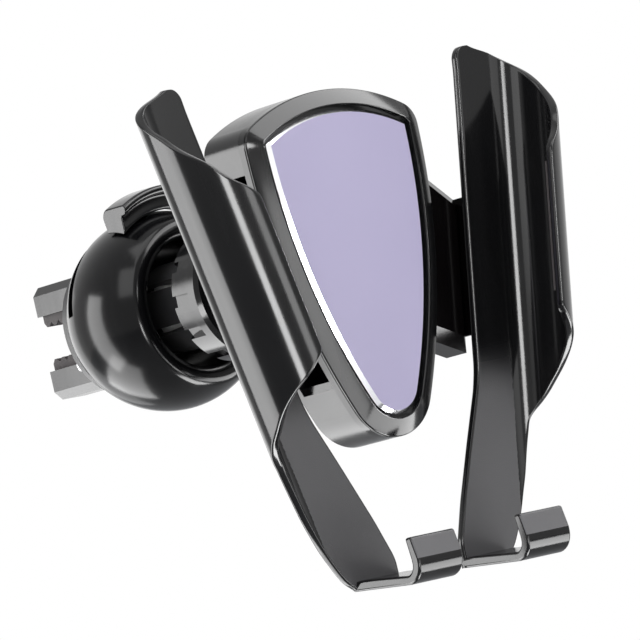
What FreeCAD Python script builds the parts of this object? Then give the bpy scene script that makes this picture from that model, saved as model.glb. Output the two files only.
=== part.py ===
"""Gravity phone holder for a car's air vent: a two-jaw vent clip, a ball joint, and a shield-shaped
body with two coupled arms that carry the phone on hooked feet.

Millimetres. +Y runs from the phone's side to the vent, +Z is up, +X is the holder's left as the driver
sees it on the right. The origin lies on the clip's axis, midway between the two vent jaws.
"""
import FreeCAD, Part
import math
import os

import Sketcher

Vector = FreeCAD.Vector
Rotation = FreeCAD.Rotation
Placement = FreeCAD.Placement

# Driving dimensions, in millimetres and degrees
SIZES = {
    # Face panel and body shell
    "face_distance": 94.0,
    "panel_half_width": 18.9,
    "panel_corner_height": 24.7,
    "panel_side_radius": 120.0,
    "panel_crown_radius": 39.6,
    "panel_tip_radius": 6.8,
    "panel_thickness": 2.2,
    "panel_bevel": 1.1,
    "panel_gap": 0.9,
    "rim_width": 3.5,
    "frame_depth": 4.0,
    "frame_bevel": 1.3,
    "frame_corner_radius": 5.0,
    "cover_depth": 12.0,
    "cover_wall": 1.8,
    "cover_bevel": 1.2,
    "window_top": 19.5,
    "window_bottom": 25.5,
    "window_inset": 11.5,
    "window_depth": 9.3,
    "body_screw_inset": 7.4,
    "body_screw_rise": 0.6,
    "body_screw_drop": 53.0,
    # Pivots, hubs and gear sectors
    "pivot_half_spacing": 15.5,
    "pivot_height": 1.0,
    "pin_radius": 1.5,
    "pin_seat_depth": 1.2,
    "running_gap": 0.05,
    "pin_boss_radius": 2.8,
    "pin_boss_length": 3.2,
    "hub_thickness": 5.0,
    "hub_clearance": 0.4,
    "hub_boss_radius": 4.4,
    "gear_tooth_count": 20,
    "gear_sector_teeth": 5,
    "gear_backlash": 0.24,
    "block_thickness": 8.6,
    "block_bevel": 2.4,
    "block_setback": 4.3,
    "block_top": 16.5,
    "block_top_drop": 9.1,
    "block_bottom": 18.4,
    "block_bottom_drop": 4.8,
    "block_reach": 13.8,
    "flange_reach": 5.2,
    "flange_thickness": 2.2,
    "flange_top": 8.0,
    "flange_bottom": 20.0,
    # Arms
    "arm_tilt": 12.0,
    "arm_wall": 1.75,
    "arm_setback": 1.1,
    "arm_offset": 14.1,
    "arm_breadth": 16.0,
    "arm_depth": 21.1,
    "arm_back_share": 0.7361,
    "arm_front_radius": 12.0,
    "lip_angle": 75.0,
    "lip_top": 16.8,
    "lip_bottom": 21.3,
    "lip_slope": 41.5,
    "tongue_top": 38.4,
    "tongue_half_width": 6.6,
    "leg_bend_height": 27.5,
    "leg_bottom": 64.0,
    "leg_width": 22.6,
    "foot_inner": 8.9,
    "foot_outer": 20.8,
    "foot_reach": 19.5,
    "foot_thickness": 1.9,
    "foot_drop": 1.9,
    "hook_height": 9.2,
    "hook_thickness": 2.3,
    "hook_inner_radius": 2.2,
    "lip_pad_thickness": 0.8,
    "lip_pad_angle": 30.0,
    "lip_pad_margin": 6.0,
    # Ball joint
    "ball_distance": 37.0,
    "ball_radius": 7.0,
    "ball_gap": 0.06,
    "liner_thickness": 0.9,
    "socket_radius": 9.4,
    "socket_behind_ball": 4.0,
    "socket_neck_radius": 7.6,
    "socket_flange_radius": 11.0,
    "socket_flange_thickness": 2.4,
    "socket_screw_circle": 8.2,
    "socket_screw_depth": 1.6,
    "socket_slot_width": 1.8,
    "socket_slot_depth": 11.5,
    "socket_slot_count": 6,
    "nut_radius": 14.0,
    "nut_length": 8.5,
    "nut_ahead_of_ball": 11.5,
    "nut_notch_count": 12,
    "nut_notch_width": 2.4,
    "nut_notch_depth": 1.6,
    "nut_notch_length": 5.6,
    "stud_neck_radius": 3.2,
    "stud_flange_radius": 5.5,
    "stud_flange_thickness": 1.4,
    "stud_shank_radius": 2.0,
    # Vent clip
    "bulb_distance": 30.0,
    "bulb_radius": 20.8,
    "mouth_distance": 42.0,
    "mouth_radius": 13.4,
    "mouth_lip_radius": 2.2,
    "shell_rear": 16.0,
    "chamber_radius": 13.9,
    "chamber_depth": 9.5,
    "partition_thickness": 2.0,
    "cam_radius": 10.2,
    "cam_thickness": 2.0,
    "cam_distance": 21.4,
    "cam_pin_circle": 7.6,
    "cam_pin_radius": 1.2,
    "slot_clearance": 0.08,
    "lever_travel": 70.0,
    "jaw_travel": 2.4,
    "lever_gap": 0.5,
    "lever_height": 4.7,
    "lever_front": 36.6,
    "lever_width": 5.3,
    "lever_flange": 1.8,
    "lever_flange_height": 1.9,
    "lever_half_length": 12.0,
    "lever_root_height": 1.8,
    "lever_stem_angle": 18.0,
    "jaw_half_width": 5.0,
    "jaw_half_gap": 5.85,
    "jaw_thickness": 6.2,
    "jaw_bevel": 1.8,
    "jaw_reach": 5.5,
    "jaw_heel": 2.5,
    "slider_half_width": 5.6,
    "jaw_pad_thickness": 1.5,
    "jaw_pad_rib": 0.9,
    "jaw_pad_ribs": 4,
    "jaw_pad_length": 9.5,
    "plate_thickness": 2.4,
    "plate_radius": 15.2,
    "screw_circle": 12.7,
    "screw_boss_radius": 1.7,
    "screw_radius": 0.8,
    "screw_head_radius": 1.5,
    "screw_head_height": 1.1,
    # Return springs
    "spring_coil_radius": 3.5,
    "spring_wire_radius": 0.3,
    "spring_pitch": 0.8,
    "spring_turns": 3,
}


class Dim:
    """A length that knows its number and the spreadsheet expression that drives it."""

    def __init__(self, number, text):
        self.number = float(number)
        self.text = text

    def __float__(self):
        return self.number

    def __add__(self, other):
        other = as_dim(other)
        return Dim(self.number + other.number, f"({self.text} + {other.text})")

    def __radd__(self, other):
        return as_dim(other) + self

    def __sub__(self, other):
        other = as_dim(other)
        return Dim(self.number - other.number, f"({self.text} - {other.text})")

    def __rsub__(self, other):
        return as_dim(other) - self

    def __mul__(self, other):
        other = as_dim(other)
        return Dim(self.number * other.number, f"({self.text} * {other.text})")

    def __rmul__(self, other):
        return as_dim(other) * self

    def __truediv__(self, other):
        other = as_dim(other)
        return Dim(self.number / other.number, f"({self.text} / {other.text})")

    def __neg__(self):
        return Dim(-self.number, f"(0 - {self.text})")


def as_dim(value):
    """Wrap a plain number so that it can stand in an expression."""
    if isinstance(value, Dim):
        return value
    return Dim(value, repr(float(value)))


def root(value):
    return Dim(math.sqrt(value.number), f"sqrt({value.text})")


def cosine(value):
    return Dim(math.cos(math.radians(value.number)), f"cos({value.text})")


def sine(value):
    return Dim(math.sin(math.radians(value.number)), f"sin({value.text})")


doc = FreeCAD.newDocument("vent_phone_holder")
sheet = doc.addObject("Spreadsheet::Sheet", "Sizes")
for row, (alias, number) in enumerate(SIZES.items(), start=1):
    sheet.set(f"A{row}", alias.replace("_", " "))
    sheet.set(f"B{row}", str(number))
    sheet.setAlias(f"B{row}", alias)
doc.recompute()


def size(alias):
    """The sheet's value under an alias, tied to its cell."""
    return Dim(sheet.get(alias), f"Sizes.{alias}")


def tie(item, path, value):
    """Set a property and bind it to the sheet."""
    if "." not in path:
        whole = isinstance(getattr(item, path), int)
        setattr(item, path, int(value.number) if whole else value.number)
    item.setExpression(path, value.text)


# Sketch and feature helpers
SUBPARTS = []


def new_body(label):
    body = doc.addObject("PartDesign::Body", label)
    SUBPARTS.append(body)
    return body


def origin_feature(body, role):
    return next(item for item in body.Origin.OriginFeatures if item.Role == role)


def new_sketch(body, role, lift=None, turn=0.0):
    """A sketch on one of the body's own origin planes, lifted along the plane's normal."""
    sketch = body.newObject("Sketcher::SketchObject", body.Label + "_sketch")
    sketch.AttachmentSupport = [(origin_feature(body, role), "")]
    sketch.MapMode = "FlatFace"
    shift = lift.number if lift is not None else 0.0
    sketch.AttachmentOffset = Placement(Vector(0, 0, shift), Rotation(Vector(1, 0, 0), turn))
    if lift is not None:
        sketch.setExpression("AttachmentOffset.Base.z", lift.text)
    return sketch


def place_point(sketch, edge, end, point):
    """Hold an edge's end at a point that is given by two tied lengths."""
    for kind, value, axis in (("DistanceX", as_dim(point[0]), -2), ("DistanceY", as_dim(point[1]), -1)):
        if abs(value.number) < 1e-9:
            sketch.addConstraint(Sketcher.Constraint("PointOnObject", edge, end, axis))
            continue
        index = sketch.addConstraint(Sketcher.Constraint(kind, -1, 1, edge, end, value.number))
        name = f"{kind}{index}"
        sketch.renameConstraint(index, name)
        sketch.setExpression(f"Constraints.{name}", value.text)


def hold_radius(sketch, edge, radius):
    index = sketch.addConstraint(Sketcher.Constraint("Radius", edge, radius.number))
    name = f"Radius{index}"
    sketch.renameConstraint(index, name)
    sketch.setExpression(f"Constraints.{name}", radius.text)


def flat(point):
    return Vector(float(point[0]), float(point[1]), 0)


def draw_loop(sketch, points, arcs=None):
    """Draw a closed outline. arcs maps an edge's index to its radius and turn (+1 counterclockwise)."""
    arcs = arcs or {}
    ends = []
    for index, start in enumerate(points):
        finish = points[(index + 1) % len(points)]
        p, q = flat(start), flat(finish)
        if index not in arcs:
            edge = sketch.addGeometry(Part.LineSegment(p, q), False)
            ends.append((edge, 1, 2))
            continue
        radius, turn = as_dim(arcs[index][0]), arcs[index][1]
        chord = q - p
        rise = math.sqrt(max(radius.number ** 2 - (chord.Length / 2) ** 2, 0.0))
        side = Vector(-chord.y, chord.x, 0).normalize() * rise * turn
        centre = (p + q) * 0.5 + side
        first, last = (p, q) if turn > 0 else (q, p)
        angles = [math.atan2(end.y - centre.y, end.x - centre.x) for end in (first, last)]
        circle = Part.Circle(centre, Vector(0, 0, 1), radius.number)
        edge = sketch.addGeometry(Part.ArcOfCircle(circle, angles[0], angles[1]), False)
        ends.append((edge, 1, 2) if turn > 0 else (edge, 2, 1))
        hold_radius(sketch, edge, radius)
    for index, (edge, start, _) in enumerate(ends):
        before, _, finish = ends[index - 1]
        sketch.addConstraint(Sketcher.Constraint("Coincident", before, finish, edge, start))
        place_point(sketch, edge, start, points[index])
    return sketch


def draw_circle(sketch, x, y, radius):
    circle = Part.Circle(Vector(float(x), float(y), 0), Vector(0, 0, 1), float(radius))
    edge = sketch.addGeometry(circle, False)
    place_point(sketch, edge, 3, (x, y))
    hold_radius(sketch, edge, as_dim(radius))
    return sketch


def feature(body, kind, sketch, what):
    item = body.newObject(kind, f"{body.Label}_{what}")
    item.Profile = sketch
    return item


def pad(body, sketch, length, what="pad"):
    item = feature(body, "PartDesign::Pad", sketch, what)
    tie(item, "Length", as_dim(length))
    doc.recompute()
    return item


def pocket(body, sketch, length, what="pocket", other_way=False):
    item = feature(body, "PartDesign::Pocket", sketch, what)
    tie(item, "Length", as_dim(length))
    item.Reversed = other_way
    doc.recompute()
    return item


def turn_round(body, sketch, angle=360.0, what="turned"):
    """Revolve a profile about the clip's axis, evenly to both sides of the sketch."""
    item = feature(body, "PartDesign::Revolution", sketch, what)
    item.ReferenceAxis = (sketch, ["H_Axis"])
    tie(item, "Angle", as_dim(angle))
    item.Midplane = True
    doc.recompute()
    return item


def groove_round(body, sketch, angle, what="groove"):
    item = feature(body, "PartDesign::Groove", sketch, what)
    item.ReferenceAxis = (sketch, ["H_Axis"])
    tie(item, "Angle", as_dim(angle))
    item.Midplane = True
    doc.recompute()
    return item


def repeat_round(body, item, count):
    pattern = body.newObject("PartDesign::PolarPattern", f"{body.Label}_pattern")
    pattern.Originals = [item]
    pattern.Axis = (origin_feature(body, "Y_Axis"), [""])
    pattern.Angle = 360.0
    tie(pattern, "Occurrences", as_dim(count))
    body.Tip = pattern
    doc.recompute()
    return pattern


def edges_where(shape, test):
    return [f"Edge{index}" for index, edge in enumerate(shape.Edges, start=1) if test(edge)]


def edge_at_y(y):
    """A test for edges that lie wholly in one plane across the clip's axis."""
    def test(edge):
        box = edge.BoundBox
        return abs(box.YMin - y) < 1e-4 and abs(box.YMax - y) < 1e-4
    return test


def dress(body, kind, base, test, amount, what):
    item = body.newObject(kind, f"{body.Label}_{what}")
    item.Base = (base, edges_where(base.Shape, test))
    tie(item, "Size" if kind == "PartDesign::Chamfer" else "Radius", as_dim(amount))
    doc.recompute()
    return item


def solid_feature(label, shape):
    """A sub-part whose shape is worked out below from the sheet's sizes."""
    item = doc.addObject("Part::Feature", label)
    item.Shape = shape
    SUBPARTS.append(item)
    return item


def mirrored(label, source, normal):
    item = doc.addObject("Part::Mirroring", label)
    item.Source = source
    item.Normal = normal
    SUBPARTS.append(item)
    return item


def along_y(y, radius, length, x=0.0, z=0.0):
    """A round bar that starts at y and runs towards the vent."""
    start = Vector(float(x), float(y), float(z))
    return Part.makeCylinder(float(radius), float(length), start, Vector(0, 1, 0))


# Planes across the clip's axis, each measured back from the vent jaws
FACE = size("face_distance")
FRAME_BACK = FACE - size("frame_depth")
COVER_BACK = FRAME_BACK - size("cover_depth")
COVER_FLOOR = COVER_BACK + size("cover_wall")
BALL = size("ball_distance")
BLOCK_INNER = size("pivot_half_spacing") + size("block_setback")
ARM_INNER = size("pivot_half_spacing") + size("arm_offset")
ARM_OUTER = ARM_INNER + size("arm_breadth")
RIM_OFFSET = size("panel_gap") + size("rim_width")
HUB_FRONT = FRAME_BACK - size("hub_clearance")
FLANGE_BACK = size("flange_thickness") - HUB_FRONT
ARM_BACK = FACE - size("arm_setback") - size("arm_wall")


def shield(offset):
    """The shield outline, grown by an offset: crown arc, two side arcs and a tip arc about fixed centres."""
    offset = as_dim(offset)
    half, corner = size("panel_half_width"), size("panel_corner_height")
    side, crown, tip = size("panel_side_radius"), size("panel_crown_radius"), size("panel_tip_radius")
    crown_centre = corner - root(crown * crown - half * half)
    side_grown, crown_grown = side + offset, crown + offset
    across, drop = half - side, corner - crown_centre
    apart = root(across * across + drop * drop)
    along = (crown_grown * crown_grown - side_grown * side_grown + apart * apart) / (2 * apart)
    rise = root(crown_grown * crown_grown - along * along)
    corner_x = (across * along + drop * rise) / apart
    corner_z = crown_centre + (drop * along - across * rise) / apart
    reach = side - tip
    fall = root(reach * reach - across * across)
    tangent_x = across - across * side_grown / reach
    tangent_z = corner - fall * side_grown / reach
    points = [(corner_x, corner_z), (tangent_x, tangent_z), (-tangent_x, tangent_z), (-corner_x, corner_z)]
    arcs = {0: (side_grown, -1), 1: (tip + offset, -1), 2: (side_grown, -1), 3: (crown_grown, -1)}
    return points, arcs


def shield_sketch(body, offset, lift):
    return draw_loop(new_sketch(body, "XZ_Plane", lift), *shield(offset))


def corner_edge(edge):
    """The two upright edges at the shield's upper corners."""
    box = edge.BoundBox
    upright = box.XLength < 1e-4 and box.ZLength < 1e-4
    return upright and box.ZMin > size("panel_corner_height").number / 2


# Face: panel, front frame, back cover
def build_face_panel():
    body = new_body("face_panel")
    plate = pad(body, shield_sketch(body, 0.0, FACE - size("panel_thickness")), size("panel_thickness"))
    dress(body, "PartDesign::Chamfer", plate, edge_at_y(-FACE.number), size("panel_bevel"), "bevel")


def pivot_circles(sketch, radius):
    draw_circle(sketch, size("pivot_half_spacing"), size("pivot_height"), radius)
    draw_circle(sketch, -size("pivot_half_spacing"), size("pivot_height"), radius)
    return sketch


SCREW_ACROSS = size("panel_half_width") - size("body_screw_inset")
SCREW_TOP = size("panel_corner_height") + size("body_screw_rise")
BODY_SCREWS = (
    (SCREW_ACROSS, SCREW_TOP),
    (-SCREW_ACROSS, SCREW_TOP),
    (as_dim(0.0), size("panel_corner_height") - size("body_screw_drop")),
)


def screw_circles(sketch, radius):
    for x, z in BODY_SCREWS:
        draw_circle(sketch, x, z, radius)
    return sketch


def socket_screw_points():
    """The three screws that hold the ball socket's flange to the cover."""
    circle = size("socket_screw_circle")
    return [(circle * cosine(as_dim(angle)), circle * sine(as_dim(angle))) for angle in (90.01, 210.0, 330.0)]


def build_front_frame():
    body = new_body("front_frame")
    blank = pad(body, shield_sketch(body, RIM_OFFSET, FRAME_BACK), size("frame_depth"))
    rounded = dress(body, "PartDesign::Fillet", blank, corner_edge, size("frame_corner_radius"), "corners")
    front_edge = edge_at_y(-FACE.number)
    bevelled = dress(body, "PartDesign::Chamfer", rounded, front_edge, size("frame_bevel"), "bevel")
    body.Tip = bevelled
    pocket(body, shield_sketch(body, size("panel_gap"), FACE), size("panel_thickness"), "panel_seat")
    seats = pivot_circles(new_sketch(body, "XZ_Plane", FRAME_BACK), size("pin_radius"))
    pocket(body, seats, size("pin_seat_depth"), "pin_seats", other_way=True)
    holes = screw_circles(new_sketch(body, "XZ_Plane", FRAME_BACK), size("screw_radius"))
    pocket(body, holes, size("pin_seat_depth"), "screw_holes", other_way=True)


def build_back_cover():
    body = new_body("back_cover")
    blank = pad(body, shield_sketch(body, RIM_OFFSET, COVER_BACK), size("cover_depth"))
    rounded = dress(body, "PartDesign::Fillet", blank, corner_edge, size("frame_corner_radius"), "corners")
    dress(body, "PartDesign::Chamfer", rounded, edge_at_y(-COVER_BACK.number), size("cover_bevel"), "bevel")
    inside = size("cover_depth") - size("cover_wall")
    pocket(body, shield_sketch(body, RIM_OFFSET - size("cover_wall"), FRAME_BACK), inside, "inside")
    windows = new_sketch(body, "XZ_Plane", FRAME_BACK)
    reach = size("panel_half_width") * 2
    for side in (1.0, -1.0):
        near, far = size("window_inset") * side, reach * side
        low, high = -size("window_bottom"), size("window_top")
        draw_loop(windows, [(near, low), (far, low), (far, high), (near, high)])
    pocket(body, windows, size("window_depth"), "windows")
    bosses = pivot_circles(new_sketch(body, "XZ_Plane", COVER_FLOOR - 0.4), size("pin_boss_radius"))
    pad(body, bosses, size("pin_boss_length") + 0.4, "pin_bosses")
    boss_end = COVER_FLOOR + size("pin_boss_length")
    seats = pivot_circles(new_sketch(body, "XZ_Plane", boss_end), size("pin_radius"))
    pocket(body, seats, size("pin_boss_length"), "pin_seats")
    posts = screw_circles(new_sketch(body, "XZ_Plane", COVER_FLOOR - 0.4), size("screw_head_radius") + 1.0)
    pad(body, posts, inside + 0.4, "screw_posts")
    holes = screw_circles(new_sketch(body, "XZ_Plane", COVER_BACK), size("screw_radius"))
    pocket(body, holes, size("cover_depth"), "screw_holes", other_way=True)
    sinks = screw_circles(new_sketch(body, "XZ_Plane", COVER_BACK), size("screw_head_radius"))
    pocket(body, sinks, size("screw_head_height"), "head_recesses", other_way=True)
    socket_holes = new_sketch(body, "XZ_Plane", COVER_BACK)
    for x, z in socket_screw_points():
        draw_circle(socket_holes, x, z, size("screw_radius"))
    pocket(body, socket_holes, size("cover_wall"), "socket_holes", other_way=True)


def screw(y, x, z, length, flip=1.0):
    """A cross-head screw: its head's top at y, its shank running towards -Y (flip 1) or +Y (flip -1)."""
    head_height, shank = size("screw_head_height").number, size("screw_radius").number
    head = along_y(0.0, size("screw_head_radius"), head_height)
    body = along_y(head_height, shank, length)
    solid = head.fuse(body)
    for angle in (0.0, 90.0):
        slot = Part.makeBox(1.6, 0.5, 0.35, Vector(-0.8, 0.0, -0.175))
        slot.rotate(Vector(0, 0, 0), Vector(0, 1, 0), angle)
        solid = solid.cut(slot)
    if flip > 0:
        solid.rotate(Vector(0, 0, 0), Vector(0, 0, 1), 180.0)
    solid.translate(Vector(float(x), float(y), float(z)))
    return solid


def build_body_screws():
    length = size("cover_depth") - size("screw_head_height") + size("pin_seat_depth")
    solids = [screw(-COVER_BACK.number, x, z, length.number - 0.2) for x, z in BODY_SCREWS]
    solid_feature("body_screws", Part.Compound(solids))


def build_pivot_pins():
    """Steel pins that the arms turn on, seated in the cover's bosses and the frame's back."""
    end = -COVER_FLOOR.number
    for label, side in (("right_pivot_pin", 1.0), ("left_pivot_pin", -1.0)):
        pin = doc.addObject("Part::Cylinder", label)
        tie(pin, "Radius", size("pin_radius"))
        tie(pin, "Height", FRAME_BACK + size("pin_seat_depth") - COVER_FLOOR)
        x = size("pivot_half_spacing") * side
        foot = Vector(x.number, end, size("pivot_height").number)
        pin.Placement = Placement(foot, Rotation(Vector(1, 0, 0), 90))
        pin.setExpression("Placement.Base.x", x.text)
        pin.setExpression("Placement.Base.y", (-COVER_FLOOR).text)
        pin.setExpression("Placement.Base.z", size("pivot_height").text)
        SUBPARTS.append(pin)


# Hubs: boss, gear sector and the shoulder block that carries an arm
def involute_tooth(pitch_radius, module, angle):
    """One gear tooth's flank points, from root to tip and back, about a centre angle in radians."""
    pressure = math.radians(20.0)
    base = pitch_radius * math.cos(pressure)
    tip, foot = pitch_radius + module, pitch_radius - 1.25 * module
    rolled = math.tan(pressure) - pressure
    half = (math.pi * module / 2 - size("gear_backlash").number) / 2 / pitch_radius
    flank = [(foot, half + rolled)]
    for step in range(4):
        radius = max(base, foot) + (tip - max(base, foot)) * step / 3
        spread = math.acos(min(1.0, base / radius))
        flank.append((radius, half + rolled - (math.tan(spread) - spread)))
    points = [(radius, angle + turn) for radius, turn in flank]
    return points + [(radius, angle - turn) for radius, turn in reversed(flank)]


def gear_sector(phase):
    """A fan of teeth that points to the other hub, in the hub's own plane about its pivot."""
    pitch = size("pivot_half_spacing").number
    count = int(size("gear_tooth_count").number)
    module = 2 * pitch / count
    teeth = int(size("gear_sector_teeth").number)
    polar = []
    for index in range(teeth):
        angle = math.pi + 2 * math.pi / count * (index - (teeth - 1) / 2 + phase)
        polar = involute_tooth(pitch, module, angle) + polar
    points = [Vector(radius * math.cos(angle), 0, radius * math.sin(angle)) for radius, angle in polar]
    points.append(Vector(0, 0, 0))
    points.append(points[0])
    return Part.Face(Part.makePolygon(points))


def prism(corners, front, back):
    """A flat plate with corners given in X and Z, between two planes across the clip's axis."""
    points = [Vector(float(x), float(front), float(z)) for x, z in corners]
    face = Part.Face(Part.makePolygon(points + points[:1]))
    return face.extrude(Vector(0, float(back) - float(front), 0))


def shoulder_block():
    """The bevelled block between the body's side and an arm, and the raised pad that the arm lies on."""
    front = -HUB_FRONT.number
    back = front + size("block_thickness").number
    inner, reach = BLOCK_INNER.number, size("block_reach").number
    top, bottom = size("block_top").number, size("block_bottom").number
    outer_top, outer_bottom = top - size("block_top_drop").number, bottom + size("block_bottom_drop").number
    lean = math.tan(math.radians(size("arm_tilt").number))
    corners = [
        (inner, top),
        (inner + 3.4, top),
        (inner + reach, outer_top),
        (inner + reach - lean * (outer_top + outer_bottom), -outer_bottom),
        (inner - 3.6, -bottom),
        (inner, -bottom * 0.2),
    ]
    block = prism(corners, front, back)
    bevel = size("block_bevel").number
    slanted = []
    for edge in block.Edges:
        box = edge.BoundBox
        on_front = abs(box.YMax - front) < 1e-4
        sloped = box.XLength > 6.0 and box.ZLength > 0.5
        if on_front and sloped:
            slanted.append(edge)
    block = block.makeChamfer(bevel, slanted)
    return block, corners


def hub_shape(phase):
    """The right hub about its own pivot, moved to its place. phase turns the teeth by parts of a pitch."""
    x, z = size("pivot_half_spacing").number, size("pivot_height").number
    front, thickness = -HUB_FRONT.number, size("hub_thickness").number
    fan = gear_sector(phase)
    fan.translate(Vector(x, front + 1.0, z))
    fan = fan.extrude(Vector(0, thickness - 1.0, 0))
    boss = along_y(front, size("hub_boss_radius"), thickness, x, z)
    block, corners = shoulder_block()
    inner = BLOCK_INNER.number
    root, spread = size("hub_boss_radius").number - 0.4, size("hub_boss_radius").number * 2
    outline = [(x, z + root), (inner + 2.0, z + spread), (inner + 2.0, z - spread), (x, z - root)]
    neck = prism(outline, front, front + thickness)
    solid = boss.fuse([fan, neck, block, arm_seat(corners)])
    bore = along_y(front - 1.0, size("pin_radius") + size("running_gap"), thickness + 2.0, x, z)
    return solid.cut(bore).removeSplitter()


def arm_seat(corners):
    """The raised flange outside the block that the arm's back wall is screwed to."""
    lean = math.tan(math.radians(size("arm_tilt").number))
    edge = ARM_INNER.number + 1.2
    outer = BLOCK_INNER.number + size("block_reach").number + size("flange_reach").number
    top, low = size("flange_top").number, -size("flange_bottom").number
    fall = corners[2][1]
    outline = [
        (edge + lean * top, top),
        (outer - lean * (fall - top), top),
        (outer - lean * (fall - low), low),
        (edge + lean * low, low),
    ]
    return prism(outline, -ARM_BACK.number, FLANGE_BACK.number)


def mirror_x(shape):
    return shape.mirror(Vector(0, 0, 0), Vector(1, 0, 0))


def build_hubs():
    solid_feature("right_hub", hub_shape(0.0))
    solid_feature("left_hub", mirror_x(hub_shape(0.5)))


def build_springs():
    """Torsion springs round the cover's pin bosses, which swing the arms open, with twelve-sided wire."""
    coil, wire = size("spring_coil_radius").number, size("spring_wire_radius").number
    pitch, turns = size("spring_pitch").number, size("spring_turns").number
    x, z = size("pivot_half_spacing").number, size("pivot_height").number
    start = -COVER_FLOOR.number - wire - 0.45
    helix = Part.makeLongHelix(pitch, pitch * turns, coil)
    corners = []
    for angle in range(0, 361, 30):
        turn = math.radians(angle)
        corners.append(Vector(coil + wire * math.cos(turn), 0, wire * math.sin(turn)))
    section = Part.Wire(Part.makePolygon(corners))
    spring = Part.Wire(helix.Edges).makePipeShell([section], True, True)
    spring.rotate(Vector(0, 0, 0), Vector(1, 0, 0), 90.0)
    spring.translate(Vector(x, start, z))
    solid_feature("right_return_spring", spring)
    solid_feature("left_return_spring", mirror_x(spring))


# Arms: a curved trough with a flat back wall, a leg and a hooked foot
def lean_at(z):
    return math.tan(math.radians(size("arm_tilt").number)) * z


def arc_through(centre, radius, start, end):
    """A circular arc in a plane across Z, between two angles in degrees."""
    circle = Part.Circle(centre, Vector(0, 0, 1), radius)
    first, last = sorted((math.radians(start), math.radians(end)))
    return Part.ArcOfCircle(circle, first, last).toShape()


def rear_round():
    """Radius of the trough's rear corner: a share of the depth that the lip's round leaves."""
    lip = size("arm_front_radius").number * math.sin(math.radians(size("lip_angle").number))
    return size("arm_back_share").number * (size("arm_depth").number - lip)


def trough_edges(inset, reach_in, z):
    """Edges of the trough's section at height z, inset from its outer skin, from back wall to lip."""
    shift = lean_at(z)
    back = -ARM_BACK.number - inset
    outer = ARM_OUTER.number + shift
    rear_radius, front_radius = rear_round(), size("arm_front_radius").number
    lip_angle = math.radians(size("lip_angle").number)
    lip_y = -ARM_BACK.number - size("arm_depth").number
    rear_centre = Vector(outer - rear_radius, -ARM_BACK.number - rear_radius, z)
    front_centre = Vector(outer - front_radius, lip_y + front_radius * math.sin(lip_angle), z)
    edges = [Part.makeLine(Vector(reach_in + shift, back, z), Vector(rear_centre.x, back, z))]
    edges.append(arc_through(rear_centre, rear_radius - inset, 0.0, 90.0))
    side = outer - inset
    edges.append(Part.makeLine(Vector(side, rear_centre.y, z), Vector(side, front_centre.y, z)))
    edges.append(arc_through(front_centre, front_radius - inset, -size("lip_angle").number, 0.0))
    return edges, front_centre


def trough_band(low, high):
    """The trough's wall, carried up the arm's lean from one height to another."""
    wall = size("arm_wall").number
    reach_in = 0.0
    skin, centre = trough_edges(0.0, reach_in, low)
    lining, _ = trough_edges(wall, reach_in, low)
    shift = lean_at(low)
    lip_angle = math.radians(size("lip_angle").number)
    lip = Vector(math.cos(lip_angle), -math.sin(lip_angle), 0)
    radius = size("arm_front_radius").number
    rear, front = -ARM_BACK.number, -ARM_BACK.number - wall
    caps = [
        Part.makeLine(centre + lip * radius, centre + lip * (radius - wall)),
        Part.makeLine(Vector(reach_in + shift, rear, low), Vector(reach_in + shift, front, low)),
    ]
    outline = Part.Wire(Part.__sortEdges__(skin + lining + caps))
    height = high - low
    return Part.Face(outline).extrude(Vector(lean_at(high) - lean_at(low), 0, height))


def smooth_outline(pieces):
    """A closed wire in X and Z from straight runs (two points) and smooth runs (three or more)."""
    edges = []
    for piece in pieces:
        points = [Vector(x, 0, z) for x, z in piece]
        if len(points) == 2:
            edges.append(Part.makeLine(points[0], points[1]))
            continue
        curve = Part.BSplineCurve()
        curve.interpolate(points)
        edges.append(curve.toShape())
    return Part.Wire(edges)


def front_outline():
    """The arm seen from the front: tongue, back wall and tapering leg, wide open over the trough."""
    inner, top = ARM_INNER.number, size("tongue_top").number
    half = size("tongue_half_width").number
    bend, bottom = size("leg_bend_height").number, size("leg_bottom").number
    foot_in, foot_out = size("foot_inner").number, size("foot_outer").number
    width = size("leg_width").number
    inner_top = inner + lean_at(top)
    knee = (inner + lean_at(-bend), -bend)
    clear = ARM_OUTER.number * 2
    calf = foot_in + width
    shin = [
        (foot_in, -bottom + 3.0),
        (foot_in + 3.3, -bottom + 11.0),
        (foot_in + 8.4, -bottom + 22.0),
        (knee[0] - 1.2, knee[1] - 3.5),
        (knee[0] + 1.0, knee[1] + 4.0),
    ]
    tip = [
        (inner_top - 0.6, top - 3.6),
        (inner_top + 1.4, top - 0.7),
        (inner_top + half * 0.55, top),
        (inner_top + half * 1.1, top - 0.4),
        (inner_top + half * 1.8, top - 1.9),
    ]
    outside = [
        (calf + 6.9, -bottom + 25.0),
        (calf + 1.9, -bottom + 19.4),
        (calf - 0.9, -bottom + 13.9),
        (calf - 4.0, -bottom + 7.3),
        (foot_out + 2.6, -bottom),
    ]
    above, below = (clear, top - 14.0), (clear, -bottom + 26.0)
    return smooth_outline([
        [(foot_in, -bottom), shin[0]],
        shin,
        [shin[-1], tip[0]],
        tip,
        [tip[-1], above],
        [above, below],
        [below, outside[0]],
        outside,
        [outside[-1], (foot_in, -bottom)],
    ])


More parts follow.
